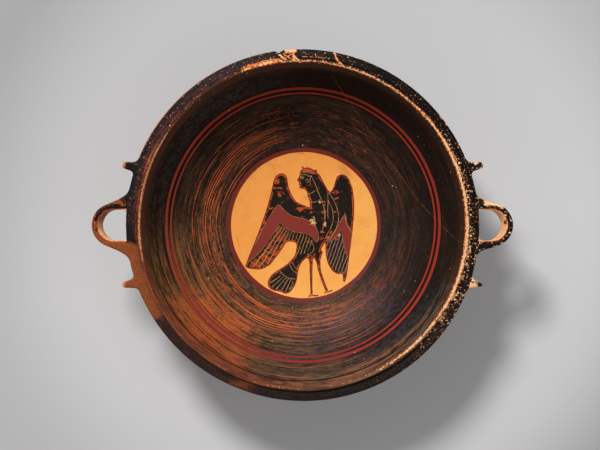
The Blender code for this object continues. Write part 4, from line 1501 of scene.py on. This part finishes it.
def pits(surface, coat, flakes):
    """Slip flaked off in pits, thickly on the right of the rim."""
    radius = surface.radius
    heavy = surface.toward(-3, 24, 50)
    near_lip = radius.ramp(160.0, 155.5)
    grips = radius.ramp(164.5, 166.0)
    cover = -0.072 + 0.058 * heavy + 0.055 * near_lip * (0.3 + heavy) + 0.02 * grips * heavy
    cover = cover + 0.02 * surface.toward(-30, 8, 30) + 0.02 * surface.toward(95, 8, 24)
    cover = cover + 0.02 * radius.band(163.0, 164.6, 0.5) * heavy - 0.15 * surface.toward(215, 38, 55)
    cover = cover - 0.015 * surface.toward(265, 15, 35) - 0.012 * surface.toward(160, 22, 45)
    spurs = grips * (abs(surface.y) - 44).ramp(0.0, 2.0) * surface.x.ramp(150, 160)
    drift = (surface.cloud(12.0, 11.0) - 0.5) * 0.16
    coarse = surface.cloud(2.7, 37.0, 3.0, 0.65)
    front = spurs * surface.y.ramp(0, -10)
    root = 0.07 * front * surface.x.ramp(162.5, 160.5) - 0.12 * front * surface.x.ramp(163.0, 164.5)
    loss = coarse * 0.6 + flakes * 0.4 - 0.585 + cover + 0.06 * spurs + root + drift
    ledge = radius.ramp(LEDGE_INNER - 0.2, LEDGE_INNER + 0.4)
    coat.lay(ledge * loss.ramp(-0.018, -0.008) * 0.4, "edge_orange")
    coat.lay(ledge * loss.ramp(0.0, 0.012), "worn_clay", 0.8, -0.15)


# The filled breaks in the ledge: each strip's ends seen from above and its half width, in millimetres
FILLED = (
    ((-21.6, 158.6), (-15.6, 153.6), 0.75), ((-15.2, 162.6), (-7.2, 162.2), 1.7),
    ((-17.0, 159.2), (-14.0, 161.6), 0.5), ((-8.4, 160.0), (-8.6, 154.2), 0.7),
    ((-8.2, 157.4), (-1.6, 151.4), 0.9), ((-8.6, 153.2), (-1.8, 151.6), 0.8),
    ((-17.4, 158.6), (-9.8, 154.4), 0.3), ((-16.8, 154.8), (-9.6, 159.4), 0.2),
    ((-13.4, 154.6), (-12.4, 160.2), 0.2),
    ((29.6, 160.2), (30.6, 157.6), 0.9), ((30.8, 157.0), (32.4, 153.8), 0.6),
    ((32.6, 153.6), (38.0, 147.6), 0.55),
)


def mends(surface, coat, flakes, grain):
    """The rim's breaks that were joined and filled: pale strips and fragments across the ledge."""
    shake = (flakes - 0.5) * 4.0 + (grain - 0.5) * 1.2
    for start, end, half in FILLED:
        strip = (half + shake - surface.segment(start, end)).ramp(0.0, 0.2)
        rim = (half + shake + 0.5 - surface.segment(start, end)).ramp(0.0, 0.3)
        coat.lay(rim * 0.6, "edge_orange", 0.7)
        coat.lay(strip, "filler", 0.8, -0.05)
        coat.lay(strip * (flakes + grain).ramp(1.0, 1.12) * 0.7, "bare_orange")
    line = surface.radius.band(156.4, 157.0, 0.4) * surface.toward(86.2, 3.4, 4.4)
    coat.lay(line * (shake + 0.3).ramp(0.0, 0.3), "bare_orange", 0.8)
    nick = surface.toward(37.8, 0.35, 0.8) + surface.toward(35.0, 0.25, 0.6)
    coat.lay(surface.radius.ramp(162.4, 163.2) * nick, "bare_orange", 0.8, -0.2)
    line = surface.radius.band(163.9, 164.7, 0.3) * surface.toward(88, 4.4, 6.0)
    coat.lay(line * (shake + 0.5).ramp(0.0, 0.3), "edge_orange", 0.8)


def outside_slip(nodes, surface, paint):
    """The outside: black slip with red bands, and bare clay under the foot."""
    height = surface.z
    strokes = nodes.noise(nodes.join(height / 1.1, surface.east * 2, surface.north * 2), 1.0)
    cloud = surface.cloud(30, 5.0)
    fleck = surface.cloud(4.0, 3.0)
    stops = {0.36: paint["black"], 0.56: paint["brown_black"], 0.66: paint["brown"], 0.8: paint["red_brown"]}
    coat = Coat(nodes, paint, nodes.stops(strokes, stops), 0.44 + 0.2 * (strokes - 0.5), strokes * 0.08)
    coat.lay(surface.toward(205, 20, 60) * cloud.ramp(0.35, 0.6) * 0.8, "misfired")
    bands = height.band(63.2, 64.6, 0.4) + height.band(66.2, 67.6, 0.4) + height.band(13.4, 15.0, 0.5)
    coat.lay(bands * fleck.ramp(0.3, 0.42), "band_red", 0.55, 0.04)
    under = surface.radius.ramp(62.6, 62.2) * height.ramp(12, 10)
    bare = height.ramp(1.3, 0.9).most(under)
    coat.lay(bare, "bare_clay", 0.75)
    coat.lay(bare * cloud.ramp(0.4, 0.7) * 0.5, "worn_clay")
    coat.lay(bare * surface.turning(2.2, 2.0, 4.0).ramp(0.5, 0.7) * 0.35, "misfired")
    rings = surface.radius.band(22, 25.5, 0.6) + surface.radius.band(31, 32.2, 0.5)
    rings = rings + surface.radius.ramp(4.0, 3.4)
    coat.lay(under * rings, "brown_black", 0.45, 0.03)
    coat.lay(height.ramp(5.6, 6.2) * fleck.ramp(0.66, 0.74) * 0.6, "lost_slip", 0.8, -0.08)
    return coat


def share_out(mesh, bowl, fields):
    """Gives each face the finish of its place."""
    points, along, away, edge, _ = fields
    corners, face_of, sizes = faces_of(mesh)
    along, away = (np.bincount(face_of, v[corners]) / sizes for v in (along, away))
    radius = np.bincount(face_of, np.hypot(*points[corners, :2].T)) / sizes
    inner_face = bowl.rim_radius - bowl.ledge_width - bowl.lip_thickness - 0.4 * bowl.lip_batter
    slots = np.where(along > edge, OUTSIDE_SLOT, WALL_SLOT)
    slots[(along < edge) & (radius < bowl.picture_radius + 2 * MM)] = FLOOR_SLOT
    slots[(along < edge) & (radius > inner_face)] = RIM_SLOT
    slots[(away > OFF_THE_BOWL) & (radius > 0.9 * bowl.rim_radius)] = RIM_SLOT
    mesh.polygons.foreach_set("material_index", slots.astype(np.int32))


def faces_of(mesh):
    """The mesh's corners as point numbers, the face of each corner, and the corners in each face."""
    corners = np.empty(len(mesh.loops), int)
    mesh.loops.foreach_get("vertex_index", corners)
    sizes = np.empty(len(mesh.polygons), int)
    mesh.polygons.foreach_get("loop_total", sizes)
    return corners, np.repeat(np.arange(len(sizes)), sizes), sizes


class LEKANE_OT_bowl(bpy.types.Operator):
    """Builds the bowl with its handles and spurs as one body of clay, and paints it"""

    bl_idname = "lekane.bowl"
    bl_label = "Bowl"

    def execute(self, context):
        bowl = context.scene.lekane_bowl
        grips = context.scene.lekane_grips
        slots = finishes(context.scene.lekane_slip)
        slip = slots[0]
        turned = turned_bowl(bowl, slip)
        right = pulled_grips(bowl, grips, slip, 1, one_side(grips, "Right"))
        left = pulled_grips(bowl, grips, slip, -1, one_side(grips, "Left"))
        mesh = one_clay(turned, [right, left], chip_tool(bowl))
        mesh.name = "lekane_clay"
        mesh.materials.clear()
        for slot in slots:
            mesh.materials.append(slot)
        fields = add_fields(mesh, bowl, grips)
        share_out(mesh, bowl, fields)
        lay_out(mesh, fields)
        piece = linked("lekane_clay", mesh)
        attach(piece, "root")
        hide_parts(NODE)
        return {"FINISHED"}


class LEKANE_OT_stage(bpy.types.Operator):
    """Sets the pale floor, the soft lights and the camera that looks straight down"""

    bl_idname = "lekane.stage"
    bl_label = "Stage"

    def execute(self, context):
        stage = context.scene.lekane_stage
        floor = linked("floor", bpy.data.meshes.new("floor"))
        shape = bmesh.new()
        bmesh.ops.create_grid(shape, x_segments=1, y_segments=1, size=4.0)
        bmesh.ops.translate(shape, verts=shape.verts, vec=(0, 0, -0.1 * MM))
        shape.to_mesh(floor.data)
        shape.free()
        floor.data.materials.append(floor_finish(stage))
        lights(context.scene, stage)
        camera(context.scene, stage)
        return {"FINISHED"}


def floor_finish(stage):
    """Pale paper with painted light: a painted falloff, darker away from the bowl, and painted shade toward
    the upper left.
    """
    material = bpy.data.materials.new("pale_paper")
    material.use_nodes = True
    nodes = Nodes(material.node_tree)
    x, y, _ = nodes.split(nodes.make("ShaderNodeTexCoord").outputs["Object"])
    away = ((x - 0.03) ** 2 + y * y) ** 0.5
    # Painted light: the floor darker away from the bowl, and painted shade toward the upper left
    far = away.ramp(stage.pool_inner, stage.pool_outer) * (0.94 + 0.3 * x - 4.2 * x * y)
    dim = (0.1 - 0.6 * x + 3.2 * y).least(1.0).most(0.0)
    shade = nodes.blend(dim, (*stage.floor, 1.0), (*stage.dim_floor, 1.0))
    shade = nodes.blend(far.least(1.0), shade, (*stage.far_floor, 1.0))
    shader = material.node_tree.nodes["Principled BSDF"]
    nodes.fill(shader.inputs["Base Color"], shade)
    shader.inputs["Roughness"].default_value = 0.9
    shader.inputs["Specular IOR Level"].default_value = 0.2
    return material


def lights(scene, stage):
    """A soft round light from the upper left, a weak wide one opposite, and a glow all round."""
    key = bpy.data.lights.new("key", "SPOT")
    key.shadow_soft_size = stage.key_size / 2
    key.spot_size = stage.key_spread
    key.spot_blend = 1.0
    key.energy = stage.key_power
    fill = bpy.data.lights.new("fill", "AREA")
    fill.shape = "DISK"
    fill.size = stage.fill_size
    fill.energy = stage.fill_power
    for light, place in ((key, stage.key_place), (fill, stage.fill_place)):
        lamp = linked(light.name, light)
        lamp.location = place
        lamp.rotation_euler = (-Vector(place)).to_track_quat("-Z", "Y").to_euler()
        lamp.visible_glossy = light == key
    world = bpy.data.worlds.new("studio")
    world.use_nodes = True
    nodes = Nodes(world.node_tree)
    ray = nodes.make("ShaderNodeTexCoord").outputs["Generated"]
    up = nodes.split(ray)[2]
    glow = stage.zenith + (stage.horizon - stage.zenith) * up.ramp(0.95, 0.4)
    background = world.node_tree.nodes["Background"]
    background.inputs["Color"].default_value = (1.0, 1.0, 1.0, 1.0)
    nodes.fill(background.inputs["Strength"], glow)
    world.cycles_visibility.glossy = False
    scene.world = world
    scene.view_settings.view_transform = "Standard"


def camera(scene, stage):
    """Looks straight down. Its shift brings the bowl to where the photograph has it."""
    eye = bpy.data.cameras.new("camera")
    eye.sensor_width = 36.0
    eye.lens = 36.0 * stage.camera_height / stage.view_width
    eye.clip_end = 20.0
    piece = linked("camera", eye)
    piece.location = (*stage.camera_place, NODE_HIGH[2] + stage.camera_height)
    eye.shift_x = (stage.view_middle[0] - stage.camera_place[0]) / stage.view_width
    eye.shift_y = (stage.view_middle[1] - stage.camera_place[1]) / stage.view_width
    scene.camera = piece


class LekaneSlip(bpy.types.PropertyGroup):
    """The colours of the clay, the slip and the added red."""

    black: colour("Black slip", "Slip laid on thickly", (24, 20, 19))
    brown_black: colour("Brown-black slip", "Slip a little thinner", (41, 29, 24))
    brown: colour("Brown slip", "Thin slip", (66, 47, 31))
    olive: colour("Olive slip", "Slip that fired brown below", (104, 74, 44))
    light_olive: colour("Light olive slip", "The same, thinner still", (134, 92, 52))
    red_brown: colour("Red-brown slip", "Very thin slip", (132, 72, 44))
    orange_slip: colour("Orange slip", "Slip that the clay shows through", (196, 88, 40))
    misfired: colour("Misfired slip", "Slip that fired orange-brown on the wall", (176, 88, 46))
    misfired_rim: colour("Misfired rim", "Slip that fired orange-brown on the rim", (136, 70, 38))
    # The painted highlight high on the wall's upper left, and a grey tint high on its lower right
    bloom: colour("Bloom", "The grey bloom high on the wall", (62, 62, 66))
    # A bluish tint for the figure's feathers and the floor's dots, and the painted reflection on the wall's
    # lower right
    sheen: colour("Sheen", "The bluish bloom on the slip", (64, 52, 80))
    # Painted shade, darkening the ledge's upper right
    deep_black: colour("Deep black", "The shining slip on the ledge's upper right", (13, 11, 11))
    ledge_black: colour("Ledge black", "Slip on the ledge and the handles", (26, 20, 19))
    # The painted bluish sheen on the ledge's upper left
    blue_black: colour("Blue-black slip", "Slip on the ledge's upper left", (22, 24, 30))
    plum: colour("Plum", "Thin slip on the ledge beside the lip", (84, 46, 44))
    lip_brown: colour("Lip brown", "Slip on the lip's inner face", (76, 48, 36))
    ash: colour("Ash", "The grey-brown slip on the ledge below", (72, 58, 54))
    olive_grey: colour("Olive-grey slip", "Slip inside the lip at the lower right", (112, 94, 72))
    bright_slip: colour("Bright orange slip", "The thinnest of the wheel-drawn lines", (224, 100, 46))
    added_red: colour("Added red", "The red laid over the slip", (134, 50, 40))
    band_red: colour("Band red", "The red of the two bands", (152, 50, 32))
    band_purple: colour("Band purple", "The bands where the slip misfired", (128, 50, 50))
    ring_red: colour("Ring red", "The ring round the picture", (118, 41, 34))
    ground: colour("Ground", "The picture's pale ground", (255, 182, 90))
    ground_deep: colour("Deep ground", "Where the ground is darker", (240, 146, 64))
    stain: colour("Stain", "The brown stain near the picture's top", (196, 120, 62))
    bare_clay: colour("Bare clay", "Clay that was never slipped", (218, 144, 90))
    bare_orange: colour("Bare orange clay", "Clay where the ledge is worn", (232, 140, 74))
    worn_clay: colour("Worn clay", "Clay where the slip is worn off", (246, 194, 142))
    edge_orange: colour("Edge orange", "Thin slip along the edges", (188, 84, 40))
    outline_red: colour("Outline red", "The thin slip round the figure", (122, 38, 30))
    figure_black: colour("Figure black", "The slip of the figure", (27, 21, 18))
    fringe: colour("Fringe", "Orange where the figure's slip is thin", (206, 86, 34))
    incised: colour("Incised line", "The lines scratched through the slip", (204, 156, 94))
    lost_slip: colour("Lost slip", "Small places where the slip came off", (218, 180, 132))
    filler: colour("Filler", "The pale filling of the mended breaks", (244, 190, 142))
    crack: colour("Crack", "The line of the mended break", (142, 84, 56))


class LekaneStage(bpy.types.PropertyGroup):
    """The floor, the lights and the camera."""

    floor: colour("Floor", "The pale floor's colour", (205, 204, 204))
    # Painted shade on the floor toward the upper left
    dim_floor: colour("Dim floor", "The floor's colour toward the upper left", (188, 187, 187))
    # Painted falloff of light on the floor far from the bowl
    far_floor: colour("Far floor", "The floor's colour far from the bowl", (160, 160, 160))
    pool_inner: length("Pool inner edge", "Where the floor's brightness begins to fall", 0.24)
    pool_outer: length("Pool outer edge", "Where the floor's brightness has fallen", 0.40)
    key_place: FloatVectorProperty(
        name="Key place", description="Where the main light stands", default=(-0.92, 1.855, 2.33),
        subtype="XYZ"
    )
    key_size: length("Key size", "Width of the main light", 0.78)
    key_spread: angle("Key spread", "Width of the main light's cone", 60)
    key_power: power("Key power", "Power of the main light", 340)
    fill_place: FloatVectorProperty(
        name="Fill place", description="Where the weak light stands", default=(1.2, -0.6, 1.3), subtype="XYZ"
    )
    fill_size: length("Fill size", "Width of the weak light", 1.4)
    fill_power: power("Fill power", "Power of the weak light", 4)
    horizon: share("Horizon", "Strength of the even light from all sides", 0.72)
    zenith: share("Zenith", "Strength of the light from straight above", 0.04)
    camera_height: length("Camera height", "From the lip's crown up to the camera", 1.5)
    camera_place: FloatVectorProperty(
        name="Camera place", description="Where the camera stands, seen from above",
        default=(0.0235, -0.001), size=2, unit="LENGTH"
    )
    view_middle: FloatVectorProperty(
        name="View middle", description="What the view's middle shows at the lip's height",
        default=(-0.0023, 0.0001), size=2, unit="LENGTH"
    )
    view_width: length("View width", "Width that the camera sees at the lip's height", 0.5570)


class LEKANE_PT_panel(bpy.types.Panel):
    """Lists the operators in the 3D view's sidebar"""

    bl_label = "Lekane"
    bl_idname = "LEKANE_PT_panel"
    bl_space_type = "VIEW_3D"
    bl_region_type = "UI"
    bl_category = "Lekane"

    def draw(self, context):
        for operator in (LEKANE_OT_bowl, LEKANE_OT_stage):
            self.layout.operator(operator.bl_idname)


GROUPS = {
    "lekane_bowl": LekaneBowl, "lekane_grips": LekaneGrips, "lekane_slip": LekaneSlip,
    "lekane_stage": LekaneStage,
}
CLASSES = (*GROUPS.values(), LEKANE_OT_bowl, LEKANE_OT_stage, LEKANE_PT_panel)


def register():
    for item in CLASSES:
        bpy.utils.register_class(item)
    for name, group in GROUPS.items():
        setattr(bpy.types.Scene, name, PointerProperty(type=group))


def unregister():
    for name in GROUPS:
        delattr(bpy.types.Scene, name)
    for item in reversed(CLASSES):
        bpy.utils.unregister_class(item)


def main():
    register()
    bpy.ops.lekane.bowl()
    bpy.ops.lekane.stage()


if __name__ == "__main__":
    main()
